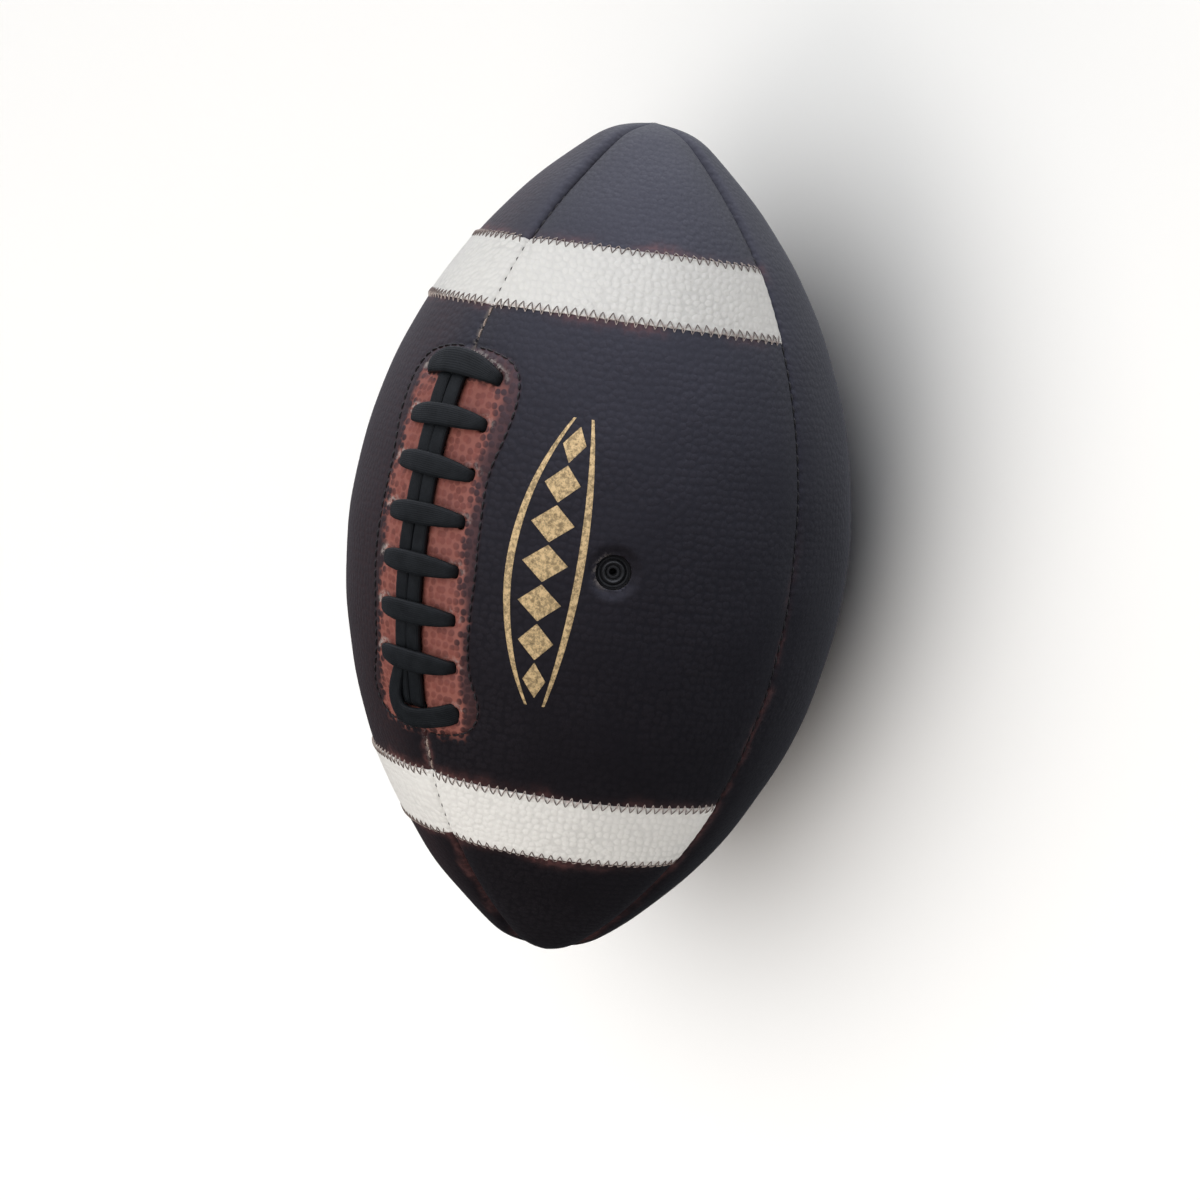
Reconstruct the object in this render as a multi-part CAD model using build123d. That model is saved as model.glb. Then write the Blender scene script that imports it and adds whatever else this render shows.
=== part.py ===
"""American football, built the way the sewn leather ball is made.

Four lined leather panels are sewn edge to edge round a rubber air bladder. The seam between the two upper
panels is left open along its middle and closed by one long lace over a loose tongue. A needle valve in the
bladder shows through a hole in the right upper panel. Half-round stripes are sewn on the two upper panels.

Frame: millimetres. +X runs along the ball to its front point, +Z is up through the laces, and the valve
is on the -Y side, called right. The ball lies with its lower seam on Z = 0 and its middle over the origin.
"""
import os
from math import asin, ceil, copysign, cos, pi, radians, sin, sqrt, tan

from build123d import *

# Whole ball
BALL_LENGTH = 285.0
BALL_DIAMETER = 170.0
POINT_RADIUS = 32.0

# Leather panels and the seams between them
PANEL_THICKNESS = 1.8
SEAM_GAP = 0.1
SEAM_ALLOWANCE = 2.1
LIP_RADIUS = 2.0
LIP_RISE = 0.1
FLANGE_OVERLAP = 0.4

# Cloth lining and lace facing, bonded behind the leather
BOND_GAP = 0.05
LINING_THICKNESS = 1.6
LINING_CLEARANCE = 0.2
FACING_END_MARGIN = 12.75
FACING_SIDE_MARGIN = 12.0
FACING_STITCH_MARGIN = 3.0

# Air bladder
BLADDER_WALL = 0.9
BLADDER_CLEARANCE = 0.3
WELL_END_MARGIN = 4.0
WELL_SIDE_MARGIN = 3.0

# Lace
CROSS_COUNT = 8
CROSS_PITCH = 15.5
CROSS_REACH = 15.0
CROSS_WIDTH = 6.0
CROSS_THICKNESS = 2.6
CROSS_SHOULDER_RISE = 2.9
CROSS_BEND = 3.0
CROSS_CROWN_BEND = 10.0
END_CROSS_LEAN = 12.0
STRAND_WIDTH = 4.0
STRAND_THICKNESS = 2.4
STRAND_GAP = 0.2
LACE_GAP = 0.15
LACE_HOLE_CLEARANCE = 0.15
UNDER_PASS_DIAMETER = 2.6

# Tongue under the lace
TONGUE_THICKNESS = 1.2
TONGUE_END_MARGIN = 13.75
TONGUE_SIDE_MARGIN = 4.0
TONGUE_CLEARANCE = 0.3

# Valve
VALVE_ANGLE = 45.0
VALVE_FACE_DEPTH = 0.9
VALVE_BOSS_DIAMETER = 10.6
VALVE_HOLE_CLEARANCE = 0.25
VALVE_FLANGE_DIAMETER = 22.0
VALVE_FLANGE_THICKNESS = 1.0
VALVE_FLANGE_DEPTH = 4.5
VALVE_STEM_DIAMETER = 8.0
VALVE_LENGTH = 15.0
VALVE_RIM = 0.6
CORE_DIAMETER = 4.4
CORE_CLEARANCE = 0.1
CORE_FACE_DEPTH = 0.4
NEEDLE_BORE_DIAMETER = 2.2
NEEDLE_BORE_LENGTH = 9.0

# Stripes
STRIPE_FROM_POINT = 72.0
STRIPE_WIDTH = 26.0
STRIPE_THICKNESS = 0.8

# Thread
SEAM_THREAD_DIAMETER = 0.7
SEAM_STITCH_PITCH = 4.0
SEAM_STITCH_LENGTH = 2.8
SEAM_END_MARGIN = 8.0
LACE_OPENING_MARGIN = 8.0
FACING_THREAD_DIAMETER = 0.6
FACING_STITCH_PITCH = 3.2
FACING_STITCH_GAP = 0.6
STRIPE_THREAD_DIAMETER = 0.45
ZIGZAG_PITCH = 2.9
ZIGZAG_DEPTH = 2.8
ZIGZAG_EDGE_MARGIN = 0.4
ZIGZAG_END_MARGIN = 3.5
THREAD_CLEARANCE = 0.05

# How far every cut runs past what it cuts
OVERRUN = 6.0

# Half outline of the facing's stitch line, from its end on the seam to its waist
FACING_OUTLINE_SHARES = (
    (1.0, 0.0),
    (0.985, 0.4),
    (0.93, 0.8),
    (0.8, 1.0),
    (0.5, 0.93),
    (0.2, 0.86),
    (0.0, 0.85),
)

# Ball outline: a belly arc with a smaller arc round each point
HALF_LENGTH = BALL_LENGTH / 2
BALL_RADIUS = BALL_DIAMETER / 2
POINT_CENTRE = HALF_LENGTH - POINT_RADIUS
BELLY_RADIUS = (POINT_CENTRE**2 + BALL_RADIUS**2 - POINT_RADIUS**2) / (2 * (BALL_RADIUS - POINT_RADIUS))
BELLY_CENTRE = BALL_RADIUS - BELLY_RADIUS
POINT_ANGLE = asin(POINT_CENTRE / (BELLY_RADIUS - POINT_RADIUS))
BELLY_ARC = BELLY_RADIUS * POINT_ANGLE
HALF_MERIDIAN = BELLY_ARC + POINT_RADIUS * (pi / 2 - POINT_ANGLE)

# Seam section, measured from the seam plane
SEAM_HALF_GAP = SEAM_GAP / 2
LIP_REACH = SEAM_HALF_GAP + LIP_RADIUS - sqrt(2 * LIP_RADIUS * LIP_RISE - LIP_RISE**2)
FLANGE_BACK = SEAM_HALF_GAP + PANEL_THICKNESS
RIDE_HEIGHT = sqrt(BALL_RADIUS**2 - LIP_REACH**2)

# Depths of the layers under the leather's outer face
LINING_TOP = PANEL_THICKNESS + BOND_GAP
LINING_FLOOR = LINING_TOP + LINING_THICKNESS
FLANGE_FLOOR = PANEL_THICKNESS + SEAM_ALLOWANCE
BLADDER_TOP = max(LINING_FLOOR, FLANGE_FLOOR) + BLADDER_CLEARANCE
UNDER_PASS_DEPTH = max(LINING_FLOOR, FLANGE_FLOOR) + LACE_GAP + UNDER_PASS_DIAMETER / 2
LACE_CROWN = BALL_RADIUS * (1 - cos(CROSS_REACH / BALL_RADIUS))
TONGUE_TOP = UNDER_PASS_DEPTH + LACE_CROWN + UNDER_PASS_DIAMETER / 2 + TONGUE_CLEARANCE
TONGUE_FLOOR = TONGUE_TOP + TONGUE_THICKNESS
WELL_DEPTH = TONGUE_FLOOR + TONGUE_CLEARANCE
VALVE_PAD_DEPTH = VALVE_FLANGE_DEPTH + VALVE_FLANGE_THICKNESS + CORE_CLEARANCE

# Lace places
STRAND_OFFSET = (STRAND_GAP + STRAND_WIDTH) / 2
STRAND_LIFT = LACE_GAP + STRAND_THICKNESS / 2
STRAND_BEND = STRAND_LIFT
LACE_HALF_LENGTH = CROSS_PITCH * (CROSS_COUNT - 1) / 2
LACE_OPENING_HALF = LACE_HALF_LENGTH + LACE_OPENING_MARGIN

# Facing and tongue reach past the lace's holes, and the bladder's well past the tongue
FACING_HALF_LENGTH = LACE_HALF_LENGTH + FACING_END_MARGIN
FACING_HALF_WIDTH = CROSS_REACH + FACING_SIDE_MARGIN
TONGUE_HALF_LENGTH = LACE_HALF_LENGTH + TONGUE_END_MARGIN
TONGUE_HALF_WIDTH = CROSS_REACH + TONGUE_SIDE_MARGIN
WELL_HALF_LENGTH = TONGUE_HALF_LENGTH + WELL_END_MARGIN
WELL_HALF_WIDTH = TONGUE_HALF_WIDTH + WELL_SIDE_MARGIN

VALVE_PLANE = Plane(
    origin=(0, 0, 0),
    x_dir=(1, 0, 0),
    z_dir=(0, -sin(radians(VALVE_ANGLE)), cos(radians(VALVE_ANGLE))),
)
SEAM_SWAP = Plane(origin=(0, 0, 0), z_dir=(0, 1, 1))


def meridian(arc, lift=0):
    """Place along and out from the axis, at a distance along the outline from the ball's middle."""
    reach = abs(arc)
    if reach <= BELLY_ARC:
        turn = reach / BELLY_RADIUS
        along = (BELLY_RADIUS + lift) * sin(turn)
        out = BELLY_CENTRE + (BELLY_RADIUS + lift) * cos(turn)
    else:
        turn = POINT_ANGLE + (reach - BELLY_ARC) / POINT_RADIUS
        along = POINT_CENTRE + (POINT_RADIUS + lift) * sin(turn)
        out = (POINT_RADIUS + lift) * cos(turn)
    return copysign(along, arc), out


def skin_point(arc, angle, lift):
    """Point above the leather, at an angle round the ball from the lace seam to the right."""
    along, out = meridian(arc, lift)
    return Vector(along, -out * sin(angle), out * cos(angle))


def top_point(along, across, lift):
    """Point above the leather of the upper half, over a place in plan."""
    out = BELLY_CENTRE + sqrt((BELLY_RADIUS + lift) ** 2 - along**2)
    return Vector(along, across, sqrt(out**2 - across**2))


def outline_edges(lift):
    """Three arcs of the upper outline in the XZ plane, from the rear point to the front point."""
    point_middle = (HALF_MERIDIAN + BELLY_ARC) / 2
    stations = (-HALF_MERIDIAN, -point_middle, -BELLY_ARC, 0, BELLY_ARC, point_middle, HALF_MERIDIAN)
    spots = [skin_point(arc, 0, lift) for arc in stations]
    return [ThreePointArc(*spots[first : first + 3]) for first in (0, 2, 4)]


def outline_face(lift):
    """Half of the ball's section, above its axis."""
    edges = outline_edges(lift)
    return make_face(edges + [Line(edges[-1] @ 1, edges[0] @ 0)])


def skin_solid(lift):
    """Solid inside the ball's surface moved out by lift."""
    return revolve(outline_face(lift), Axis.X)


def quarter_space(edge_gap):
    """Right upper quarter of space, clear of both seam planes by a gap."""
    block = Box(BALL_LENGTH, BALL_DIAMETER, BALL_DIAMETER, align=(Align.CENTER, Align.MAX, Align.MIN))
    return Pos(0, -edge_gap, edge_gap) * block


def quarter_layer(top_depth, floor_depth, edge_gap):
    """Right upper quarter of the layer between two depths under the leather's outer face."""
    band = outline_face(-top_depth) - outline_face(-floor_depth)
    return revolve(band, Axis.X, 90) & quarter_space(edge_gap)


def rod(start, end, diameter):
    """Straight round rod from one point to another."""
    run = end - start
    placed = Plane(origin=start, z_dir=run)
    return placed * Cylinder(diameter / 2, run.length, align=(Align.CENTER, Align.CENTER, Align.MIN))


def disc_at(diameter, top_depth, floor_depth):
    """Disc on the valve's axis, between two depths under the leather's outer face."""
    base = VALVE_PLANE.offset(BALL_RADIUS - floor_depth)
    size = floor_depth - top_depth
    return base * Cylinder(diameter / 2, size, align=(Align.CENTER, Align.CENTER, Align.MIN))


def turned_edge():
    """Turned-in edge of the right panel along the lace seam."""
    band = outline_face(FLANGE_OVERLAP - PANEL_THICKNESS) - outline_face(-FLANGE_FLOOR)
    strip = Pos(0, -SEAM_HALF_GAP, 0) * band
    return extrude(strip, amount=PANEL_THICKNESS, dir=(0, -1, 0)) & quarter_space(SEAM_HALF_GAP)


def lip_cutter(cover):
    """Cutter that rounds the right panel's edge over into the lace seam, under a cover of some thickness."""
    radius = LIP_RADIUS + cover
    centre_across = SEAM_HALF_GAP + LIP_RADIUS
    centre_up = LIP_RISE - LIP_RADIUS
    low = (centre_across - radius, centre_up)
    middle = (centre_across - radius * sin(pi / 4), centre_up + radius * cos(pi / 4))
    high = (centre_across, centre_up + radius)
    outer_top = (centre_across, OVERRUN)
    inner_top = (-OVERRUN, OVERRUN)
    inner_low = (-OVERRUN, centre_up)
    edges = [ThreePointArc(low, middle, high), Polyline(high, outer_top, inner_top, inner_low, low)]
    start = Plane(origin=(-HALF_LENGTH, 0, 0), x_dir=(0, -1, 0), z_dir=(0, 0, -1))
    return sweep(start * make_face(edges), path=Wire(outline_edges(0)))


def panel_blank():
    """Right upper panel before its holes: leather, turned-in edges and rounded lips."""
    leather = quarter_layer(0, PANEL_THICKNESS, SEAM_HALF_GAP)
    lip = lip_cutter(0)
    edge = turned_edge()
    return leather + edge + mirror(edge, about=SEAM_SWAP) - lip - mirror(lip, about=SEAM_SWAP)


def facing_points(half_length, half_width):
    """Points of the facing's right-hand outline in plan, from its front end to its rear end."""
    front = [(half_length * x_share, -half_width * y_share) for x_share, y_share in FACING_OUTLINE_SHARES]
    rear = [(-along, across) for along, across in reversed(front[:-1])]
    return front + rear


def facing_block(half_length, half_width):
    """Upright block of the facing's right-hand outline."""
    points = facing_points(half_length, half_width)
    face = make_face([Spline(*points), Line(points[-1], points[0])])
    return extrude(face, amount=BALL_DIAMETER)


def cross_lean(index):
    """How far one cross leans from the leather's normal towards its end of the ball, in radians."""
    if index in (0, CROSS_COUNT - 1):
        return radians(END_CROSS_LEAN)
    return 0


def cross_plane(index):
    """Plane of one cross on the chord between its holes, half the chord, and the leather's rise over it."""
    arc = (index - (CROSS_COUNT - 1) / 2) * CROSS_PITCH
    along, out = meridian(arc)
    angle = CROSS_REACH / out
    lean = arc / BELLY_RADIUS + copysign(cross_lean(index), arc)
    origin = (along, 0, out * cos(angle))
    plane = Plane(origin=origin, x_dir=(0, 1, 0), z_dir=(cos(lean), 0, -sin(lean)))
    return plane, out * sin(angle), out * (1 - cos(angle))


def cross_foot(index, side):
    """Inner end of one leg of a cross: side is 1 on the left and -1 on the right."""
    plane, half_chord, _ = cross_plane(index)
    return plane.origin + plane.x_dir * (side * half_chord) - plane.y_dir * UNDER_PASS_DEPTH


def lace_cross(index):
    """One cross of the lace: up through a hole, over the long strands and down the other hole."""
    plane, half_chord, crown = cross_plane(index)
    edge_rise = tan(cross_lean(index)) * CROSS_WIDTH / 2
    top = crown + 2 * LACE_GAP + STRAND_THICKNESS + CROSS_THICKNESS / 2 + edge_rise
    shoulder = STRAND_OFFSET + STRAND_WIDTH / 2
    half = [(half_chord, -UNDER_PASS_DEPTH), (half_chord, CROSS_SHOULDER_RISE + edge_rise), (shoulder, top)]
    points = [(-across, up) for across, up in half] + list(reversed(half))
    bends = [CROSS_BEND, CROSS_CROWN_BEND, CROSS_CROWN_BEND, CROSS_BEND]
    path = plane * FilletPolyline(*points, radius=bends)
    start = Plane(origin=path @ 0, x_dir=plane.z_dir, z_dir=path % 0)
    return sweep(start * SlotOverall(CROSS_WIDTH, CROSS_THICKNESS), path=path)


def cross_hole(index, side):
    """Cutter for the hole that one leg of a cross goes through."""
    plane = cross_plane(index)[0]
    width = CROSS_WIDTH + 2 * LACE_HOLE_CLEARANCE
    thickness = CROSS_THICKNESS + 2 * LACE_HOLE_CLEARANCE
    start = Plane(origin=cross_foot(index, side), x_dir=plane.z_dir, z_dir=plane.y_dir)
    return extrude(start * SlotOverall(width, thickness), amount=UNDER_PASS_DEPTH + OVERRUN)


def strand_end(end):
    """Centre line's last place on the leather, its direction and its inward direction: end is 1 or -1."""
    turn = end * LACE_HALF_LENGTH / BELLY_RADIUS
    radius = BELLY_RADIUS + STRAND_LIFT
    spot = Vector(radius * sin(turn), 0, BELLY_CENTRE + radius * cos(turn))
    onward = Vector(cos(turn), 0, -sin(turn)) * end
    inward = Vector(-sin(turn), 0, -cos(turn))
    return spot - onward * STRAND_BEND, onward, inward


def strand_leg(end, side):
    """Top and foot of the leg that takes a long strand through the leather."""
    spot, onward, inward = strand_end(end)
    aside = Vector(0, side * STRAND_OFFSET, 0)
    top = spot + aside + (onward + inward) * STRAND_BEND
    return top, top + inward * (STRAND_LIFT + UNDER_PASS_DEPTH - STRAND_BEND)


def lace_strand(side):
    """One long strand along the seam, turned down through the leather at both ends."""
    aside = Vector(0, side * STRAND_OFFSET, 0)
    ends = []
    for end in (-1, 1):
        spot, onward, inward = strand_end(end)
        top, foot = strand_leg(end, side)
        bend_middle = spot + aside + onward * (STRAND_BEND * sin(pi / 4))
        bend_middle += inward * (STRAND_BEND * (1 - cos(pi / 4)))
        ends.append((spot + aside, bend_middle, top, foot))
    rear, front = ends
    summit = Vector(0, 0, BALL_RADIUS + STRAND_LIFT) + aside
    path = Wire([
        Line(rear[3], rear[2]),
        ThreePointArc(rear[2], rear[1], rear[0]),
        ThreePointArc(rear[0], summit, front[0]),
        ThreePointArc(front[0], front[1], front[2]),
        Line(front[2], front[3]),
    ])
    start = Plane(origin=path @ 0, x_dir=(0, 1, 0), z_dir=path % 0)
    return sweep(start * SlotOverall(STRAND_WIDTH, STRAND_THICKNESS), path=path)


def strand_hole(end):
    """Cutter for the slot across the seam that both long strands go down at one end."""
    spot, onward, inward = strand_end(end)
    foot = spot + onward * STRAND_BEND + inward * (STRAND_LIFT + UNDER_PASS_DEPTH)
    width = 2 * (STRAND_OFFSET + LACE_HOLE_CLEARANCE) + STRAND_WIDTH
    thickness = STRAND_THICKNESS + 2 * LACE_HOLE_CLEARANCE
    start = Plane(origin=foot, x_dir=(0, 1, 0), z_dir=-inward)
    return extrude(start * SlotOverall(width, thickness), amount=UNDER_PASS_DEPTH + OVERRUN)


def lace_holes(side):
    """All the lace's hole cutters on one side of the seam, with the slots that both sides share."""
    holes = [cross_hole(index, side) for index in range(CROSS_COUNT)]
    return holes + [strand_hole(end) for end in (-1, 1)]


def make_lace():
    """The lace: one length, crossing eight times and running twice along the seam."""
    pieces = [lace_cross(index) for index in range(CROSS_COUNT)]
    pieces += [lace_strand(side) for side in (-1, 1)]
    last = CROSS_COUNT - 1
    for index in range(last):
        pieces.append(rod(cross_foot(index, -1), cross_foot(index + 1, 1), UNDER_PASS_DIAMETER))
    pieces.append(rod(strand_leg(-1, 1)[1], cross_foot(0, 1), UNDER_PASS_DIAMETER))
    pieces.append(rod(strand_leg(1, -1)[1], cross_foot(last, -1), UNDER_PASS_DIAMETER))
    return pieces[0] + pieces[1:]


def make_tongue():
    """Tongue: a leather strip between the lace's under-passes and the bladder."""
    width = 2 * TONGUE_HALF_WIDTH
    block = Box(2 * TONGUE_HALF_LENGTH, width, BALL_DIAMETER, align=(Align.CENTER, Align.CENTER, Align.MIN))
    return (skin_solid(-TONGUE_TOP) - skin_solid(-TONGUE_FLOOR)) & block


def bladder_form(wall):
    """Solid inside the bladder's outer face moved in by a wall: with a well for the lace and a valve pad."""
    length = 2 * (WELL_HALF_LENGTH + wall)
    width = 2 * (WELL_HALF_WIDTH + wall)
    block = Box(length, width, BALL_DIAMETER, align=(Align.CENTER, Align.CENTER, Align.MIN))
    well = block - skin_solid(-WELL_DEPTH - wall)
    pad_diameter = VALVE_FLANGE_DIAMETER + 2 * (BLADDER_CLEARANCE + wall)
    pad = disc_at(pad_diameter, -OVERRUN, VALVE_PAD_DEPTH + wall)
    return skin_solid(-BLADDER_TOP - wall) - well - pad


def make_bladder():
    """Rubber air bladder, with a hole for the valve's stem."""
    stem = disc_at(VALVE_STEM_DIAMETER + 2 * CORE_CLEARANCE, 0, VALVE_FACE_DEPTH + VALVE_LENGTH)
    return bladder_form(0) - bladder_form(BLADDER_WALL) - stem


def make_valve_body():
    """Rubber valve: a boss in the cover's hole, a flange on the bladder and a stem inside it."""
    floor = VALVE_FACE_DEPTH + VALVE_LENGTH
    boss = disc_at(VALVE_BOSS_DIAMETER, VALVE_FACE_DEPTH, VALVE_FLANGE_DEPTH + FLANGE_OVERLAP)
    flange = disc_at(VALVE_FLANGE_DIAMETER, VALVE_FLANGE_DEPTH, VALVE_FLANGE_DEPTH + VALVE_FLANGE_THICKNESS)
    stem = disc_at(VALVE_STEM_DIAMETER, VALVE_FLANGE_DEPTH, floor)
    bore = disc_at(CORE_DIAMETER + 2 * CORE_CLEARANCE, -OVERRUN, floor + OVERRUN)
    dish = disc_at(VALVE_BOSS_DIAMETER - 2 * VALVE_RIM, -OVERRUN, VALVE_FACE_DEPTH + CORE_FACE_DEPTH)
    return boss + flange + stem - bore - dish


def make_valve_core():
    """Self-closing valve core with the channel that the inflating needle goes down."""
    top = VALVE_FACE_DEPTH + CORE_FACE_DEPTH
    core = disc_at(CORE_DIAMETER, top, VALVE_FACE_DEPTH + VALVE_LENGTH)
    return core - disc_at(NEEDLE_BORE_DIAMETER, -OVERRUN, top + NEEDLE_BORE_LENGTH)


def valve_hole():
    """Cutter for the hole that the valve's boss sits in."""
    return disc_at(VALVE_BOSS_DIAMETER + 2 * VALVE_HOLE_CLEARANCE, -OVERRUN, BLADDER_TOP)


def wrapped_band(cover, inner_arc, outer_arc):
    """Band of the right upper quarter with rounded lips, as the leather would be with a cover over it."""
    stations = (outer_arc, (outer_arc + inner_arc) / 2, inner_arc)
    below = [skin_point(arc, 0, -LIP_RADIUS) for arc in stations]
    above = [skin_point(arc, 0, cover) for arc in stations]
    edges = [
        ThreePointArc(*above),
        Line(above[2], below[2]),
        ThreePointArc(*reversed(below)),
        Line(below[0], above[0]),
    ]
    band = revolve(make_face(edges), Axis.X, 90) & quarter_space(SEAM_HALF_GAP)
    lip = lip_cutter(cover)
    return band - lip - mirror(lip, about=SEAM_SWAP)


def make_stripe():
    """Front right stripe, wrapped over the panel's lips into both seams."""
    outer = HALF_MERIDIAN - STRIPE_FROM_POINT
    inner = outer - STRIPE_WIDTH
    leather = wrapped_band(BOND_GAP, inner - OVERRUN, outer + OVERRUN)
    return wrapped_band(STRIPE_THICKNESS, inner, outer) - leather


def zigzag_row(edge_arc, inward):
    """Zig-zag stitches along one edge of the front right stripe."""
    edge = edge_arc + inward * ZIGZAG_EDGE_MARGIN
    lift = STRIPE_THICKNESS + THREAD_CLEARANCE + STRIPE_THREAD_DIAMETER / 2
    out = meridian(edge)[1]
    margin = ZIGZAG_END_MARGIN / out
    count = int((pi / 2 - 2 * margin) * out / (ZIGZAG_PITCH / 2))
    step = (pi / 2 - 2 * margin) / count
    slack = STRIPE_THREAD_DIAMETER / (ZIGZAG_PITCH + ZIGZAG_DEPTH)
    stitches = []
    for index in range(count):
        depths = (0, ZIGZAG_DEPTH) if index % 2 == 0 else (ZIGZAG_DEPTH, 0)
        start = skin_point(edge + inward * depths[0], margin + index * step, lift)
        end = skin_point(edge + inward * depths[1], margin + (index + 1) * step, lift)
        run = end - start
        stitches.append(rod(start + run * slack, end - run * slack, STRIPE_THREAD_DIAMETER))
    return stitches


def make_stripe_thread():
    """Both zig-zag rows of the front right stripe."""
    outer = HALF_MERIDIAN - STRIPE_FROM_POINT
    return Compound(zigzag_row(outer, -1) + zigzag_row(outer - STRIPE_WIDTH, 1))


def make_facing_thread():
    """Stitches that hold the right facing, along its outline on the leather."""
    half_length = FACING_HALF_LENGTH - FACING_STITCH_MARGIN
    half_width = FACING_HALF_WIDTH - FACING_STITCH_MARGIN
    line = Spline(*facing_points(half_length, half_width))
    lift = THREAD_CLEARANCE + FACING_THREAD_DIAMETER / 2
    count = ceil(line.length / FACING_STITCH_PITCH)
    gap = FACING_STITCH_GAP / line.length / 2
    stitches = []
    for index in range(1, count - 1):
        start = line @ (index / count + gap)
        end = line @ ((index + 1) / count - gap)
        ends = [top_point(spot.X, spot.Y, lift) for spot in (start, end)]
        stitches.append(rod(ends[0], ends[1], FACING_THREAD_DIAMETER))
    return Compound(stitches)


def seam_thread_lift(cover):
    """Lift of the thread's centre line where it lies between two lips with a cover over them."""
    apart = SEAM_HALF_GAP + LIP_RADIUS
    near = LIP_RADIUS + cover + THREAD_CLEARANCE + SEAM_THREAD_DIAMETER / 2
    return LIP_RISE - LIP_RADIUS + sqrt(near**2 - apart**2)


def make_seam_thread(open_half, stripe_cover):
    """Stitches in the lace seam, leaving its middle open, over the stripes where these cover both lips."""
    stripe_outer = HALF_MERIDIAN - STRIPE_FROM_POINT
    stripe_middle = stripe_outer - STRIPE_WIDTH / 2
    reach = HALF_MERIDIAN - SEAM_END_MARGIN
    count = int((reach - open_half) / SEAM_STITCH_PITCH)
    half_stitch = SEAM_STITCH_LENGTH / 2
    stitches = []
    for index in range(count):
        arc = reach - index * SEAM_STITCH_PITCH
        from_stripe = abs(arc - stripe_middle) - STRIPE_WIDTH / 2
        on_stripe = from_stripe < -half_stitch
        if abs(from_stripe) <= half_stitch or (on_stripe and not stripe_cover):
            continue
        lift = seam_thread_lift(stripe_cover if on_stripe else 0)
        start = skin_point(arc - half_stitch, 0, lift)
        end = skin_point(arc + half_stitch, 0, lift)
        stitches.append(rod(start, end, SEAM_THREAD_DIAMETER))
    front = Compound(stitches)
    return Compound(stitches + mirror(front, about=Plane.YZ).solids())


def make_parts():
    """Every piece by name, about the ball's middle."""
    left = Plane.XZ
    under = Plane.XY
    rearward = Plane.YZ
    parts = {}

    lace_panel = panel_blank()
    back_panel = mirror(lace_panel, about=under)
    parts["lace_panel_right"] = lace_panel - lace_holes(-1) - valve_hole()
    parts["lace_panel_left"] = mirror(lace_panel, about=left) - lace_holes(1)
    parts["back_panel_right"] = back_panel
    parts["back_panel_left"] = mirror(back_panel, about=left)

    lining_edge = FLANGE_BACK + LINING_CLEARANCE
    lining = quarter_layer(LINING_TOP, LINING_FLOOR, lining_edge)
    facing = lining & facing_block(FACING_HALF_LENGTH, FACING_HALF_WIDTH)
    clear_length = FACING_HALF_LENGTH + LINING_CLEARANCE
    lace_lining = lining - facing_block(clear_length, FACING_HALF_WIDTH + LINING_CLEARANCE)
    parts["lace_lining_right"] = lace_lining - valve_hole()
    parts["lace_lining_left"] = mirror(lace_lining, about=left)
    parts["back_lining_right"] = mirror(lining, about=under)
    parts["back_lining_left"] = mirror(parts["back_lining_right"], about=left)
    parts["lace_facing_right"] = facing - lace_holes(-1)
    parts["lace_facing_left"] = mirror(facing, about=left) - lace_holes(1)

    parts["lace"] = make_lace()
    parts["lace_tongue"] = make_tongue()
    parts["bladder"] = make_bladder()
    parts["valve_body"] = make_valve_body()
    parts["valve_core"] = make_valve_core()

    stripe = make_stripe()
    stripe_thread = make_stripe_thread()
    parts["stripe_front_right"] = stripe
    parts["stripe_thread_front_right"] = stripe_thread
    parts["stripe_front_left"] = mirror(stripe, about=left)
    parts["stripe_thread_front_left"] = mirror(stripe_thread, about=left)
    for hand in ("right", "left"):
        for piece in ("stripe", "stripe_thread"):
            parts[f"{piece}_rear_{hand}"] = mirror(parts[f"{piece}_front_{hand}"], about=rearward)

    facing_thread = make_facing_thread()
    parts["facing_thread_right"] = facing_thread
    parts["facing_thread_left"] = mirror(facing_thread, about=left)
    parts["seam_thread_lace"] = make_seam_thread(LACE_OPENING_HALF, STRIPE_THICKNESS)
    side_thread = mirror(make_seam_thread(0, 0), about=SEAM_SWAP)
    parts["seam_thread_right"] = side_thread
    parts["seam_thread_left"] = mirror(side_thread, about=left)
    parts["seam_thread_back"] = mirror(mirror(side_thread, about=SEAM_SWAP), about=under)
    return parts


os.makedirs("parts", exist_ok=True)
for name, shape in make_parts().items():
    shape = Pos(0, 0, RIDE_HEIGHT) * shape
    shape.label = name
    export_step(shape, f"parts/{name}.step")
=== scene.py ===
"""Dresses the American football: pebbled leather, white stripes, black lace, stitching and valve.

Lengths are metres. +X runs along the ball to its front point, +Z is up through the laces, and the valve is
on the -Y side, called right. An arc is a distance along the ball's outline from its middle, and an angle is
measured round the ball from the lace seam to the right.
"""
from math import asin, cos, pi, radians, sin, sqrt

import bmesh
import bpy
import numpy as np
from bpy.props import FloatProperty, FloatVectorProperty, IntProperty, PointerProperty
from mathutils import Matrix, Vector


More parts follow.
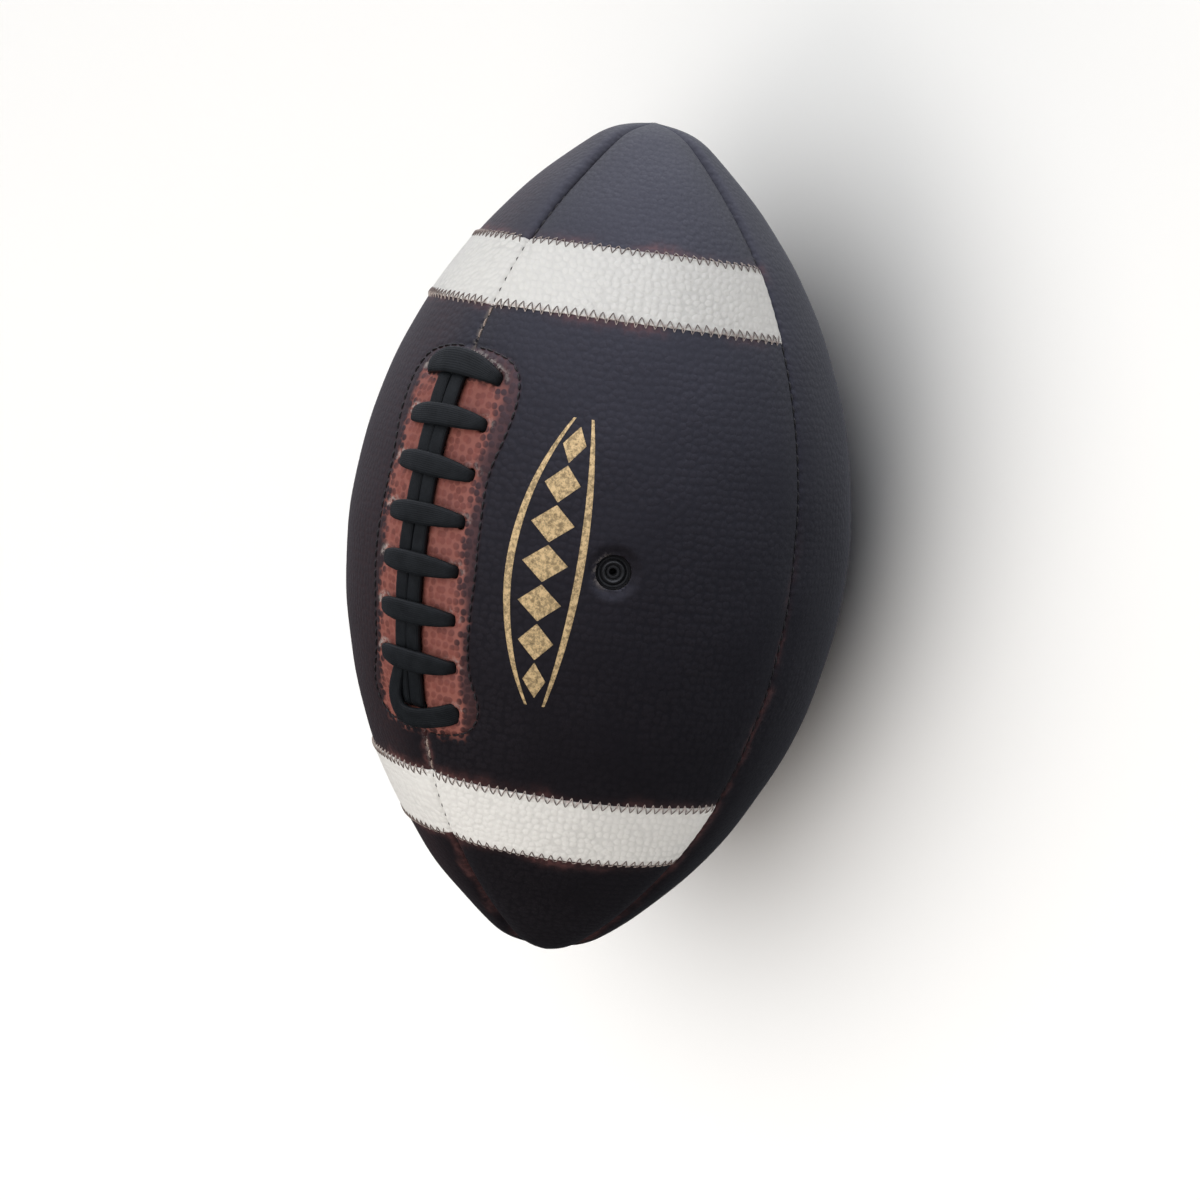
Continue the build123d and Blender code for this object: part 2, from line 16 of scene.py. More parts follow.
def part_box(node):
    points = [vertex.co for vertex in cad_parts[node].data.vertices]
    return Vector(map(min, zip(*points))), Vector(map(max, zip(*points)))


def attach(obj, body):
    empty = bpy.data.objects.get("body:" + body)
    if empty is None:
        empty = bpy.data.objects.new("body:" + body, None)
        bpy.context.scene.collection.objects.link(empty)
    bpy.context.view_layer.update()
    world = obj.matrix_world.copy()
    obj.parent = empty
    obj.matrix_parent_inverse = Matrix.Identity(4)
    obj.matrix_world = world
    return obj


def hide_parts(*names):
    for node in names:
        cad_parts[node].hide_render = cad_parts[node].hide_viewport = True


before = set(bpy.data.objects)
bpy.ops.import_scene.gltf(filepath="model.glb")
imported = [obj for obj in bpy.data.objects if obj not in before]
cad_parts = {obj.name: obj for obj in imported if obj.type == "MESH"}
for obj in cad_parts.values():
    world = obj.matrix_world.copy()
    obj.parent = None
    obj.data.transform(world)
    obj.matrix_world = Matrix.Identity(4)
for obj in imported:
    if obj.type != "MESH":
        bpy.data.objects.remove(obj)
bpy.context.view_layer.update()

bl_info = {
    "name": "American Football Dresser",
    "version": (1, 0, 0),
    "blender": (4, 5, 0),
    "location": "View3D > Sidebar > Football",
    "description": "Builds the leather, stripes, lace, stitching and valve of an American football",
    "category": "Object",
}

BODY = "root"
QUARTER = pi / 2
TINY = 1e-9
CREASE = radians(40.0)

# Leather at the seams: half the gap, the turned-in edge's depth, the panel width under which edges shrink,
# and where the panels stop short of a point
SEAM_HALF_GAP = 0.00005
FLANGE_DEPTH = 0.0038
NARROW_WIDTH = 0.016
POINT_STOP = 0.0006

# How the seams draw the leather in towards the points: shares that the roll and the edge's radius gain there,
# a fold beside the seam, and the shares of the outline over which these grow
POINT_ROLL_SHARE = 0.2
POINT_LIP_SHARE = 0.75
POINT_FOLD_DEPTH = 0.0010
POINT_FOLD_WIDTH = 0.0022
POINT_GROWTH_SHARES = (0.5, 0.85)

# Spacing of the leather's mesh, and counts across its rolled edge and its inner face
LEATHER_STEP = 0.00095
LIP_STEPS = 8
INNER_STEPS = 16

# Shares of a wavelength between which the waves of ripples lie
RIPPLE_LENGTH_SHARES = (0.7, 1.6)

# Slow waves and stitch puckers of the leather
WAVE_LENGTH = 0.032
WAVE_SEED = 11
PUCKER_WIDTH = 0.0022
SEAM_STITCH_PITCH = 0.004

# Leather round the lace: points on the stitch line, the shares of its size within which it bends the leather,
# the rise inside it, its groove, and a dimple at each lace hole
FACING_POINTS = 240
FACING_FINE_POINTS = 600
FACING_NEAR_SHARES = (1.2, 1.4)
FACING_RISE = 0.0004
FACING_GROOVE_DEPTH = 0.00034
FACING_GROOVE_WIDTH = 0.0009
DIMPLE_DEPTH = 0.0009
DIMPLE_WIDTH = 0.0034

# Leather round the valve: a dish
VALVE_DISH_DEPTH = 0.0011
VALVE_DISH_RADIUS = 0.0092

# Stripes: glue line, mesh spacing, rough edges, the rounding of their edges as shares of width and thickness,
# and dirt along them
STRIPE_BOND = 0.00003
STRIPE_STEP = 0.001
STRIPE_JAG = 0.00016
STRIPE_JAG_LENGTH = 0.0024
STRIPE_JAG_SEEDS = (31, 32)
STRIPE_EDGE_SHARES = ((0.0, 0.1), (0.005, 0.6), (0.014, 0.92), (0.03, 1.0))
STRIPE_DIRT = 0.55
STRIPE_DIRT_WIDTH = 0.0009

# Thread: stitches swell from thin ends and sink into the leather there
STITCH_RINGS = 9
STITCH_SIDES = 8
STITCH_SWELL_POWER = 0.6
STITCH_SINK_SHARE = 0.6
STITCH_END_SHARE = 0.55
ZIGZAG_PITCH = 0.0030
ZIGZAG_DEPTH = 0.0036
ZIGZAG_OVERHANG = 0.0012
ZIGZAG_FALL = 0.0007
ZIGZAG_END_MARGIN = 0.0022
ZIGZAG_JITTER = 0.00018
ZIGZAG_SEED = 40
ZIGZAG_RADIUS = 0.00017
# Depths past the stripe's edge over which the zig-zag thread darkens: dirt and painted shade
ZIGZAG_DIRT_AND_SHADE_DEPTHS = (-0.0003, 0.0009)
FACING_STITCH_PITCH = 0.0032
FACING_STITCH_GAP = 0.0005
FACING_THREAD_RADIUS = 0.00032
SEAM_STITCH_LENGTH = 0.0028
STRIPE_STITCH_LENGTH = 0.0015
SEAM_THREAD_RADIUS = 0.00036
SEAM_END_MARGIN = 0.008
LACE_OPENING_MARGIN = 0.008

# Lace: its section is squarer at lower powers, and its depth under the leather is in lace thicknesses
LACE_SIDES = 28
LACE_CREASE = radians(60.0)
LACE_SECTION_POWERS = (0.6, 0.75)
LACE_DEPTH_SHARE = -2.3
CROSS_RINGS = 80
CROSS_SEED = 60
STRAND_RINGS = 120
UNDER_PASS_RINGS = 12
UNDER_PASS_SHARE = 0.9
LACE_HOLE_SLACK_SHARE = 1 / 12
CROSS_BOW = 0.0008
FRONT_CROSS_BOW = 0.0030
CROSS_TILT = 0.0006
FRONT_CROSS_SHARE = 1.22
STRAND_GAP = 0.00004
STRAND_SHIFT = -0.0018
STRAND_SWELL = 0.0002
STRAND_SWAY_RATE = 1.7
STRAND_TAIL_SHARES = ((0.4, 0.4), (0.1, 0.0), (0.0, -0.8), (0.0, LACE_DEPTH_SHARE))

# Valve, turned about its axis: radius and lift
LATHE_STEPS = 72
VALVE_BODY_PROFILE = (
    (0.00225, -0.0150), (0.00225, -0.0030), (0.0024, -0.0024), (0.0027, -0.0020), (0.0031, -0.0018),
    (0.0034, -0.0019), (0.0037, -0.0023), (0.0039, -0.0029), (0.0042, -0.0032), (0.0047, -0.0031),
    (0.0051, -0.0024), (0.0053, -0.0018), (0.00545, -0.0019), (0.00545, -0.0045), (0.0110, -0.0045),
    (0.0110, -0.0055), (0.0040, -0.0056), (0.0040, -0.0150),
)
VALVE_CORE_PROFILE = (
    (0.00002, -0.0158), (0.00002, -0.0103), (0.0010, -0.0100), (0.0010, -0.0036), (0.0013, -0.0032),
    (0.0018, -0.0031), (0.0021, -0.0032), (0.0022, -0.0034), (0.0022, -0.0158),
)

# Foil ornament on the right lace panel: two rules, thinner and closer at their ends, and a row of lozenges
FOIL_STEPS = 9
FOIL_HEIGHT = 0.00004
FOIL_PLACE = 0.0452
FOIL_SLANT = 0.04
FOIL_HALF_LENGTH = 0.046
FOIL_HALF_WIDTH = 0.0112
FOIL_END_SHARE = 0.25
FOIL_RULE_WIDTH = 0.0024
FOIL_RULE_END_SHARE = 0.35
FOIL_RULE_RINGS = 160
FOIL_LOZENGES = 3
FOIL_LOZENGE_RINGS = 33
FOIL_LOZENGE_WIDTH_SHARE = 0.64
FOIL_LOZENGE_LENGTH_SHARE = 0.46
FOIL_TIP_SHARE = 0.02
FOIL_PITCH = 0.0125

# Wear of the leather: waves that make it uneven, as height, length and seed, where it stays fresh across the
# lace and at its rear and front, brown along stripes, inside the stitch line, along seams and on the left,
# and pale rubbed rims, with a painted highlight on the lace's side of the valve hole's rim
DRIFT_WAVES = ((0.0016, 0.012, 21), (0.0007, 0.004, 22))
FRINGE_PATCH_LENGTH = 0.03
FRINGE_PATCH_SEED = 23
FRINGE_PATCH_LEVELS = (-0.5, 0.7)
FRESH_ACROSS = (0.0225, 0.0135)
FRESH_REAR = (-0.0668, -0.0575)
FRESH_FRONT = (0.0565, 0.0475)
FRINGE_WIDTH = 0.0026
STRIPE_END_WIDTH = 0.0024
FACING_BROWN = 0.62
FACING_BROWN_EDGE = 0.0006
LEFT_FACING_SHARE = 0.4
SEAM_BROWN = 0.75
SEAM_BROWN_WIDTH = 0.0016
SEAM_BROWN_ARCS = (0.03, -0.05)
LEFT_BROWN = 0.15
LEFT_BROWN_STARTS = (0.0, -0.02)
LEFT_BROWN_ENDS = (-0.14, -0.06)
SEAM_SCUFF = 0.7
SEAM_SCUFF_WIDTH = 0.0006
SCUFF_AND_HIGHLIGHT_WIDTH = 0.0007
SCUFF_RING_RADIUS = 0.0032
FRONT_SCUFF_TAPER_SHARE = 0.4
LEFT_HOLE_SCUFF = 0.6
RIGHT_HOLE_SCUFF = 0.25
# A highlight painted on the lace's side of the valve hole's rim, and the turns over which it fades in
VALVE_PAINTED_HIGHLIGHT = 0.25
VALVE_HIGHLIGHT_TURNS = (0.0, -0.06)

# Colours of wear, dirt with painted shade, a painted highlight, the hidden layers, and the sheen's tint
# Pale rubbed leather, also painted on the valve hole's rim as a highlight
SCUFF_AND_HIGHLIGHT_COLOUR = (0.52, 0.46, 0.43)
LINING_COLOUR = (0.55, 0.50, 0.42)
HIDE_COLOUR = (0.26, 0.15, 0.09)
TONGUE_COLOUR = (0.234, 0.135, 0.081)
# Darker zig-zag thread on the stripes: dirt and painted shade
THREAD_DIRT_AND_SHADE = (0.145, 0.112, 0.102)
LEATHER_SHEEN = (0.78, 0.80, 1.0)

# Grain of the finishes: a noise's middle range, noise pitches, bump depths, and pushes as pitch and strength
NOISE_RANGE = (0.3, 0.7)
PEBBLE_RANDOMNESS = 0.62
PEBBLE_PUSH = (0.004, 0.0006)
LEATHER_CLOUD_PITCH = 0.03
LEATHER_GRAIN_PITCH = 0.0007
LEATHER_FLECK_PITCH = 0.0016
STRIPE_CLOUD_PITCH = 0.02
STRIPE_FLECK_PITCH = 0.0012
STRIPE_GRAIN_PITCH = 0.0008
LACE_CLOUD_PITCH = 0.004
LACE_GRAIN_PITCH = 0.0005
LACE_LINE_RATE = 34.0
LACE_BUMP_DEPTH = 0.00009
THREAD_CLOUD_PITCH = 0.0015
THREAD_TWIST_PITCH = 0.0003
THREAD_BUMP_DEPTH = 0.00008
FOIL_FLECK_PITCH = 0.0013
FOIL_MOTTLE_PITCH = 0.0014
FOIL_PUSH = (0.001, 0.0006)
VALVE_PITCH = 0.0006
VALVE_BUMP_DEPTH = 0.00003
LINING_PITCH = 0.0008
HIDE_PITCH = 0.0012
HIDE_BUMP_DEPTH = 0.00008
TONGUE_PITCH = 0.0014
BLADDER_PITCH = 0.002
BLADDER_BUMP_DEPTH = 0.00004
FLOOR_CLOUD_PITCH = 0.3

# Stage: floor, lamps as name, kind, place, width or angle, power and colour, the air's glow in gloss, whose
# power of e grows along one direction, mostly to the front, and the camera from the ball's middle
FLOOR_HALF_SIZE = 60.0
LAMPS = (
    ("rear_lamp", "AREA", (-1.3, 0.1, 1.3), 1.6, 11.0, (1.0, 0.91, 0.83)),
    ("roof_lamp", "SUN", (0.3, 0.1, 2.4), radians(80.0), 2.75, (1.0, 1.0, 0.99)),
)
AIR_COLOUR = (0.93, 0.96, 1.06)
AIR_POWER_MIDDLE = -1.05
AIR_POWER_GROWTH = (2.3, -0.06, 0.14)
CAMERA_PLACE = (0.08713, -0.55275, 0.63723)
CAMERA_RIGHT = (0.13346, -0.74004, -0.65919)
CAMERA_FORWARD = (-0.12544, 0.64717, -0.75195)
CAMERA_SENSOR = 36.0
CAMERA_LENS = 74.45
CAMERA_NEAR = 0.01

# Middle of the ball, halfway up the stitches of its right-hand seam
SIDE_SEAM_LOW, SIDE_SEAM_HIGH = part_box("seam_thread_right")
CENTRE_HEIGHT = (SIDE_SEAM_LOW.z + SIDE_SEAM_HIGH.z) / 2

# First quarter turn from the lace seam, to the right, of each panel and of each stripe, with the stripe's end
PANEL_QUARTERS = {"lace_panel_right": 0, "back_panel_right": 1, "back_panel_left": -2, "lace_panel_left": -1}
STRIPE_PLACES = (("front_right", 0, 1), ("rear_right", 0, -1), ("front_left", -1, 1), ("rear_left", -1, -1))

# Stitch line round the lace, from its front end on the seam to its rear end, sewn a little unevenly by hand
FACING_OUTLINE_SHARES = (
    (1.0, 0.0), (0.985, 0.4), (0.93, 0.8), (0.8, 1.0), (0.6, 1.01), (0.36, 0.9), (0.12, 0.93),
    (-0.12, 0.95), (-0.36, 0.91), (-0.6, 0.89), (-0.8, 1.0), (-0.93, 0.82), (-0.985, 0.4), (-1.0, 0.0),
)

# Half of a lace cross, from the seam to its hole: share of the reach, and lift in lace thicknesses
CROSS_RISE_SHARES = (
    (0.0, 1.66), (0.26, 1.62), (0.55, 1.2), (0.8, 0.72),
    (0.93, 0.28), (0.99, -0.5), (1.0, -1.4), (1.0, LACE_DEPTH_SHARE),
)

# Width of a lace cross along the same half, as shares of its full width
CROSS_WIDTH_SHARES = ((0.0, 1.0), (0.35, 0.99), (0.6, 0.9), (0.8, 0.77), (0.93, 0.64), (1.0, 0.52))

# The lace's rear end turns round the strands: shares of the reach across, of the pitch along and of the
# lace's thickness up, and its width along that way as shares of a cross's full width
REAR_LOOP_SHARES = (
    (-0.32, 0.95, 0.6), (-0.38, 0.66, 0.95), (-0.43, 0.4, 1.25), (-0.44, 0.14, 1.4),
    (-0.33, -0.1, 1.5), (-0.06, -0.19, 1.55), (0.3, -0.17, 1.4), (0.66, -0.09, 0.95),
    (0.88, -0.03, 0.4), (0.98, 0.0, -0.4), (1.0, 0.0, -1.4), (1.0, 0.0, LACE_DEPTH_SHARE),
)
LOOP_WIDTH_SHARES = (
    (0.0, 0.7), (0.25, 0.82), (0.5, 0.92), (0.72, 1.0), (0.86, 0.9), (0.93, 0.72), (1.0, 0.6),
)


def length_property(name, description, default):
    """A size in metres that a user may change."""
    kind = {"precision": 5, "unit": "LENGTH", "subtype": "DISTANCE"}
    return FloatProperty(name=name, description=description, default=default, min=0.0, **kind)


def colour_property(name, description, default):
    """A linear colour that a user may change."""
    kind = {"max": 1.0, "size": 3, "subtype": "COLOR"}
    return FloatVectorProperty(name=name, description=description, default=default, min=0.0, **kind)


class FootballSizes(bpy.types.PropertyGroup):
    """Sizes of the ball and of what is sewn to it."""

    ball_length: length_property("Ball length", "From point to point", 0.285)
    ball_diameter: length_property("Ball diameter", "Across the middle", 0.170)
    point_radius: length_property("Point radius", "Rounding of each point", 0.032)
    panel_thickness: length_property("Panel thickness", "Leather thickness", 0.0018)
    lip_radius: length_property("Lip radius", "How the leather rolls over into a seam", 0.0019)
    seam_roll_depth: length_property("Seam roll depth", "How far a seam pulls the leather in", 0.0008)
    seam_roll_width: length_property("Seam roll width", "How far from a seam it pulls", 0.0055)
    pucker_depth: length_property("Pucker depth", "Depth of the puckers between seam stitches", 0.00016)
    wrinkle_depth: length_property("Wrinkle depth", "Height of the leather's slow waves", 0.00022)
    pebble_pitch: length_property("Pebble pitch", "Spacing of the leather's pebble grain", 0.0025)
    pebble_height: length_property("Pebble height", "Height of the leather's pebble grain", 0.00016)
    stripe_from_point: length_property("Stripe from point", "Along the leather, from point to stripe", 0.072)
    stripe_width: length_property("Stripe width", "Width of each stripe", 0.026)
    stripe_thickness: length_property("Stripe thickness", "Thickness of each stripe", 0.00045)
    facing_half_length: length_property("Stitch line half length", "Half of the line round the lace", 0.064)
    facing_half_width: length_property("Stitch line half width", "Half of its width at the ends", 0.024)
    cross_pitch: length_property("Cross pitch", "Spacing of the lace's crosses", 0.0155)
    cross_reach: length_property("Cross reach", "From the seam to a lace hole", 0.0153)
    cross_width: length_property("Cross width", "Width of the lace at the middle of a cross", 0.0072)
    lace_thickness: length_property("Lace thickness", "Thickness of the lace", 0.0024)
    strand_width: length_property("Strand width", "Width of each long strand", 0.0054)
    valve_hole_diameter: length_property("Valve hole diameter", "Hole in the leather at the valve", 0.0111)
    cross_count: IntProperty(name="Crosses", description="Number of lace crosses", default=8, min=2)
    valve_angle: FloatProperty(
        name="Valve angle",
        description="Round the ball from the lace seam",
        default=radians(45.0),
        unit="ROTATION",
        subtype="ANGLE",
    )


class FootballColours(bpy.types.PropertyGroup):
    """Colours of the ball's finishes."""

    leather_worn: colour_property("Worn leather", "Grain darkened by handling", (0.0085, 0.0068, 0.0078))
    leather_brown: colour_property("Brown leather", "Leather beside seams and stripes", (0.064, 0.027, 0.025))
    leather_fresh: colour_property("Fresh leather", "Pebble tops beside the lace", (0.172, 0.054, 0.041))
    leather_valley: colour_property("Leather valleys", "Between these pebbles", (0.236, 0.083, 0.063))
    stripe: colour_property("Stripe", "Stripe coating", (0.77, 0.76, 0.735))
    lace: colour_property("Lace", "Lace coating", (0.0052, 0.0060, 0.0070))
    stripe_thread: colour_property("Stripe thread", "Zig-zag thread", (0.44, 0.37, 0.34))
    facing_thread: colour_property("Facing thread", "Thread round the lace", (0.010, 0.008, 0.009))
    seam_thread: colour_property("Seam thread", "Thread beside the lace", (0.36, 0.28, 0.24))
    rubber: colour_property("Rubber", "Valve and bladder", (0.0085, 0.0085, 0.0095))
    foil: colour_property("Foil", "Stamped foil ornament", (0.56, 0.405, 0.215))
    floor: colour_property("Floor", "Studio floor", (0.97, 0.97, 0.97))


class BallShape:
    """The ball's outline, a belly arc with a smaller arc round each point, and places on its leather."""

    def __init__(self, sizes):
        self.sizes = sizes
        self.radius = sizes.ball_diameter / 2
        self.point_radius = sizes.point_radius
        self.point_centre = sizes.ball_length / 2 - self.point_radius
        squares = self.point_centre**2 + self.radius**2 - self.point_radius**2
        self.belly_radius = squares / (2 * (self.radius - self.point_radius))
        self.belly_centre = self.radius - self.belly_radius
        self.point_angle = asin(self.point_centre / (self.belly_radius - self.point_radius))
        self.belly_arc = self.belly_radius * self.point_angle
        self.half_arc = self.belly_arc + self.point_radius * (QUARTER - self.point_angle)

    def outline(self, arc, lift=0.0):
        """Distance along the axis and out from it."""
        reach = np.abs(arc)
        on_belly = reach <= self.belly_arc
        point_turn = self.point_angle + (reach - self.belly_arc) / self.point_radius
        turn = np.where(on_belly, reach / self.belly_radius, point_turn)
        arm = np.where(on_belly, self.belly_radius, self.point_radius) + lift
        along = np.where(on_belly, 0.0, self.point_centre) + arm * np.sin(turn)
        out = np.where(on_belly, self.belly_centre, 0.0) + arm * np.cos(turn)
        return np.sign(arc) * along, out

    def girth(self, arc):
        """Radius of the ball at an arc."""
        return self.outline(np.asarray(arc, float))[1]

    def place(self, arc, angle, lift):
        """Points off the leather's nominal face."""
        arc, angle, lift = np.broadcast_arrays(*(np.asarray(value, float) for value in (arc, angle, lift)))
        along, out = self.outline(arc, lift)
        return np.stack([along, -out * np.sin(angle), CENTRE_HEIGHT + out * np.cos(angle)], -1)

    def normal(self, arc, angle):
        """Outward directions."""
        step = self.place(arc, angle, 1.0) - self.place(arc, angle, 0.0)
        return step / np.linalg.norm(step, axis=-1, keepdims=True)

    def unwrap(self, points):
        """Arc and angle of points near the leather."""
        out = np.hypot(points[:, 1], points[:, 2] - CENTRE_HEIGHT)
        angle = np.arctan2(-points[:, 1], points[:, 2] - CENTRE_HEIGHT)
        along = np.abs(points[:, 0])
        belly_turn = np.arctan2(along, out - self.belly_centre)
        point_turn = np.arctan2(along - self.point_centre, np.maximum(out, TINY))
        point_reach = self.belly_arc + (point_turn - self.point_angle) * self.point_radius
        reach = np.where(belly_turn <= self.point_angle, belly_turn * self.belly_radius, point_reach)
        return np.sign(points[:, 0]) * reach, angle


def smooth_step(low, high, value):
    """0 below low and 1 above high, with a soft rise between; low may be the larger, for a fall."""
    share = np.clip((value - low) / (high - low), 0.0, 1.0)
    return share * share * (3 - 2 * share)


def from_share(start, share):
    """A start where the share is 0, growing to 1 with it."""
    return start + (1 - start) * share


def bell(distance, width):
    """1 at no distance, falling off over a width."""
    return np.exp(-((distance / width) ** 2))


def turns(count):
    """Angles of places evenly spaced round a circle."""
    return np.arange(count) * 2 * pi / count


def squarish(wave, power):
    """A wave with the same sign, squarer at powers below 1."""
    return np.sign(wave) * np.abs(wave) ** power


def ripples(points, wavelength, seed, waves=14):
    """Smooth waves in space, between about -1 and 1, the same on every run."""
    dice = np.random.default_rng(seed)
    total = np.zeros(points.shape[:-1])
    for _ in range(waves):
        direction = dice.normal(size=3)
        direction /= np.linalg.norm(direction)
        pace = 2 * pi / (wavelength * dice.uniform(*RIPPLE_LENGTH_SHARES))
        total += np.sin(points @ direction * pace + dice.uniform(0, 2 * pi))
    return total * sqrt(2 / waves) / 2


def smooth_line(knots, count):
    """Points evenly spread over a smooth line through knots, by Catmull-Rom spans."""
    knots = np.asarray(knots, float)
    padded = np.vstack([2 * knots[0] - knots[1], knots, 2 * knots[-1] - knots[-2]])
    place = np.linspace(0, len(knots) - 1, count)
    span = np.minimum(place.astype(int), len(knots) - 2)
    part = (place - span)[:, None]
    before, start, end, after = (padded[span + step] for step in range(4))
    slope_in = (end - before) / 2
    slope_out = (after - start) / 2
    cubic = 2 * start - 2 * end + slope_in + slope_out
    square = 3 * end - 3 * start - 2 * slope_in - slope_out
    return ((cubic * part + square) * part + slope_in) * part + start


def evenly_spaced(line, count):
    """The same line with points at equal distances along it."""
    line = np.asarray(line, float)
    runs = np.linalg.norm(np.diff(line, axis=0), axis=1)
    travelled = np.concatenate([[0.0], np.cumsum(runs)])
    wanted = np.linspace(0, travelled[-1], count)
    return np.stack([np.interp(wanted, travelled, column) for column in line.T], -1)


def line_length(line):
    """Length of a line of points."""
    return np.linalg.norm(np.diff(line, axis=0), axis=1).sum()


def loft(rings, wrapped=False):
    """Points and faces of closed forms with rings as sections: an array of form, ring, point and axis.

    The last ring meets the first if the forms are wrapped, and otherwise the end rings are filled.
    """
    forms, count, sides, _ = rings.shape
    first = np.arange(forms)[:, None, None] * count * sides
    ring = np.arange(count if wrapped else count - 1)[None, :, None]
    here = np.arange(sides)[None, None, :]
    onward = (here + 1) % sides
    this_ring = first + ring * sides
    next_ring = first + (ring + 1) % count * sides
    corners = [this_ring + here, this_ring + onward, next_ring + onward, next_ring + here]
    faces = np.stack(np.broadcast_arrays(*corners), -1).reshape(-1, 4).tolist()
    if not wrapped:
        for start in range(0, forms * count * sides, count * sides):
            faces.append(list(range(start + sides - 1, start - 1, -1)))
            faces.append(list(range(start + (count - 1) * sides, start + count * sides)))
    return rings.reshape(-1, 3), faces


def make_piece(name, points, faces, finish, crease=CREASE):
    """A smooth-shaded mesh object from points and faces."""
    mesh = bpy.data.meshes.new(name)
    mesh.from_pydata(points.tolist(), [], faces)
    work = bmesh.new()
    work.from_mesh(mesh)
    bmesh.ops.recalc_face_normals(work, faces=work.faces)
    work.to_mesh(mesh)
    work.free()
    mesh.shade_smooth()
    mesh.set_sharp_from_angle(angle=crease)
    piece = bpy.data.objects.new(name, mesh)
    bpy.context.scene.collection.objects.link(piece)
    if finish:
        mesh.materials.append(finish)
    return piece


def join_forms(forms):
    """Points and faces of several forms as one."""
    points = []
    faces = []
    offset = 0
    for form_points, form_faces in forms:
        points.append(form_points)
        faces += [[corner + offset for corner in face] for face in form_faces]
        offset += len(form_points)
    return np.vstack(points), faces


def dress(piece, slot, *nodes):
    """Ties a piece to the ball and hides the nodes it stands for; the slot is not used."""
    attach(piece, BODY)
    if nodes:
        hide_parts(*nodes)


def dressed(node, slot, form, finish, **shading):
    """A piece with a form's points and faces that stands for a node."""
    piece = make_piece(f"dressed_{node}", *form, finish, **shading)
    dress(piece, slot, node)
    return piece


def write_attribute(piece, name, values):
    """Stores one number per point for the piece's finish."""
    attribute = piece.data.attributes.new(name, "FLOAT", "POINT")
    attribute.data.foreach_set("value", np.asarray(values, np.float32))


def read_points(piece):
    """All of a piece's points."""
    points = np.zeros(len(piece.data.vertices) * 3, np.float32)
    piece.data.vertices.foreach_get("co", points)
    return points.reshape(-1, 3).astype(float)


def cut(piece, cutters):
    """Cuts closed forms out of a piece."""
    cutter = make_piece("cutter", *join_forms(cutters), None)
    change = piece.modifiers.new("holes", "BOOLEAN")
    change.operation = "DIFFERENCE"
    change.solver = "MANIFOLD"
    change.object = cutter
    graph = bpy.context.evaluated_depsgraph_get()
    holed = bpy.data.meshes.new_from_object(piece.evaluated_get(graph))
    piece.modifiers.clear()
    if len(holed.polygons) == 0:
        raise RuntimeError(f"cutting the holes of {piece.name} left nothing")
    plain = piece.data
    piece.data = holed
    holed.name = piece.name
    bpy.data.meshes.remove(plain)
    bpy.data.meshes.remove(cutter.data)


def facing_line(ball, count):
    """Arc and distance from the lace seam along the right-hand stitch line, from front to rear."""
    sizes = ball.sizes
    knots = np.array(FACING_OUTLINE_SHARES) * (sizes.facing_half_length, sizes.facing_half_width)
    return evenly_spaced(smooth_line(knots, 4 * count), count)


def cross_arc(ball, index):
    """Arc of one cross of the lace, counted from the rear."""
    sizes = ball.sizes
    return (index - (sizes.cross_count - 1) / 2) * sizes.cross_pitch


def facing_edge(line, arc, outside):
    """Distance from the lace seam to the stitch line at arcs, or an outside value past its ends."""
    order = np.argsort(line[:, 0])
    return np.interp(arc, line[order, 0], line[order, 1], left=outside, right=outside)


def from_nearest_seam(ball, arc, angle):
    """Distance round the ball from the nearest of the four seams."""
    return np.abs((angle + QUARTER / 2) % QUARTER - QUARTER / 2) * ball.girth(arc)


def from_lace_seam(ball, arc, angle):
    """Signed distance round the ball from the lace seam."""
    turned = (angle + pi) % (2 * pi) - pi
    return turned * ball.girth(arc)


def facing_lift(ball, arc, across):
    """How the leather stands round the lace: raised inside the stitch line, sunk on it and at the holes."""
    sizes = ball.sizes
    line = facing_line(ball, FACING_POINTS)
    lift = np.zeros(arc.shape)
    near_along, near_across = FACING_NEAR_SHARES
    near = np.abs(arc) < sizes.facing_half_length * near_along
    near = near & (np.abs(across) < sizes.facing_half_width * near_across)
    spot = np.stack([arc[near], np.abs(across[near])], -1)
    if len(spot) == 0:
        return lift
    nearest = np.full(len(spot), np.inf)
    for point in line:
        nearest = np.minimum(nearest, ((spot - point) ** 2).sum(1))
    distance = np.sqrt(nearest)
    depth = np.where(spot[:, 1] < facing_edge(line, spot[:, 0], -1.0), distance, -distance)
    rise = FACING_RISE * smooth_step(-2 * FACING_GROOVE_WIDTH, 3 * FACING_GROOVE_WIDTH, depth)
    rise -= FACING_GROOVE_DEPTH * bell(distance, FACING_GROOVE_WIDTH)
    for index in range(sizes.cross_count):
        away = np.hypot(spot[:, 0] - cross_arc(ball, index), spot[:, 1] - sizes.cross_reach)
        rise -= DIMPLE_DEPTH * bell(away, DIMPLE_WIDTH)
    lift[near] = rise
    return lift


def valve_distance(ball, arc, angle):
    """Distance along the leather from the valve's middle."""
    return np.hypot(arc, (angle - ball.sizes.valve_angle) * ball.radius)


def towards_points(ball, arc):
    """0 over the ball's belly, rising to 1 near its points."""
    return smooth_step(*POINT_GROWTH_SHARES, np.abs(arc) / ball.half_arc)


def lip_radius(ball, arc):
    """Radius of the leather's rolled edge."""
    return ball.sizes.lip_radius * (1 + POINT_LIP_SHARE * towards_points(ball, arc))


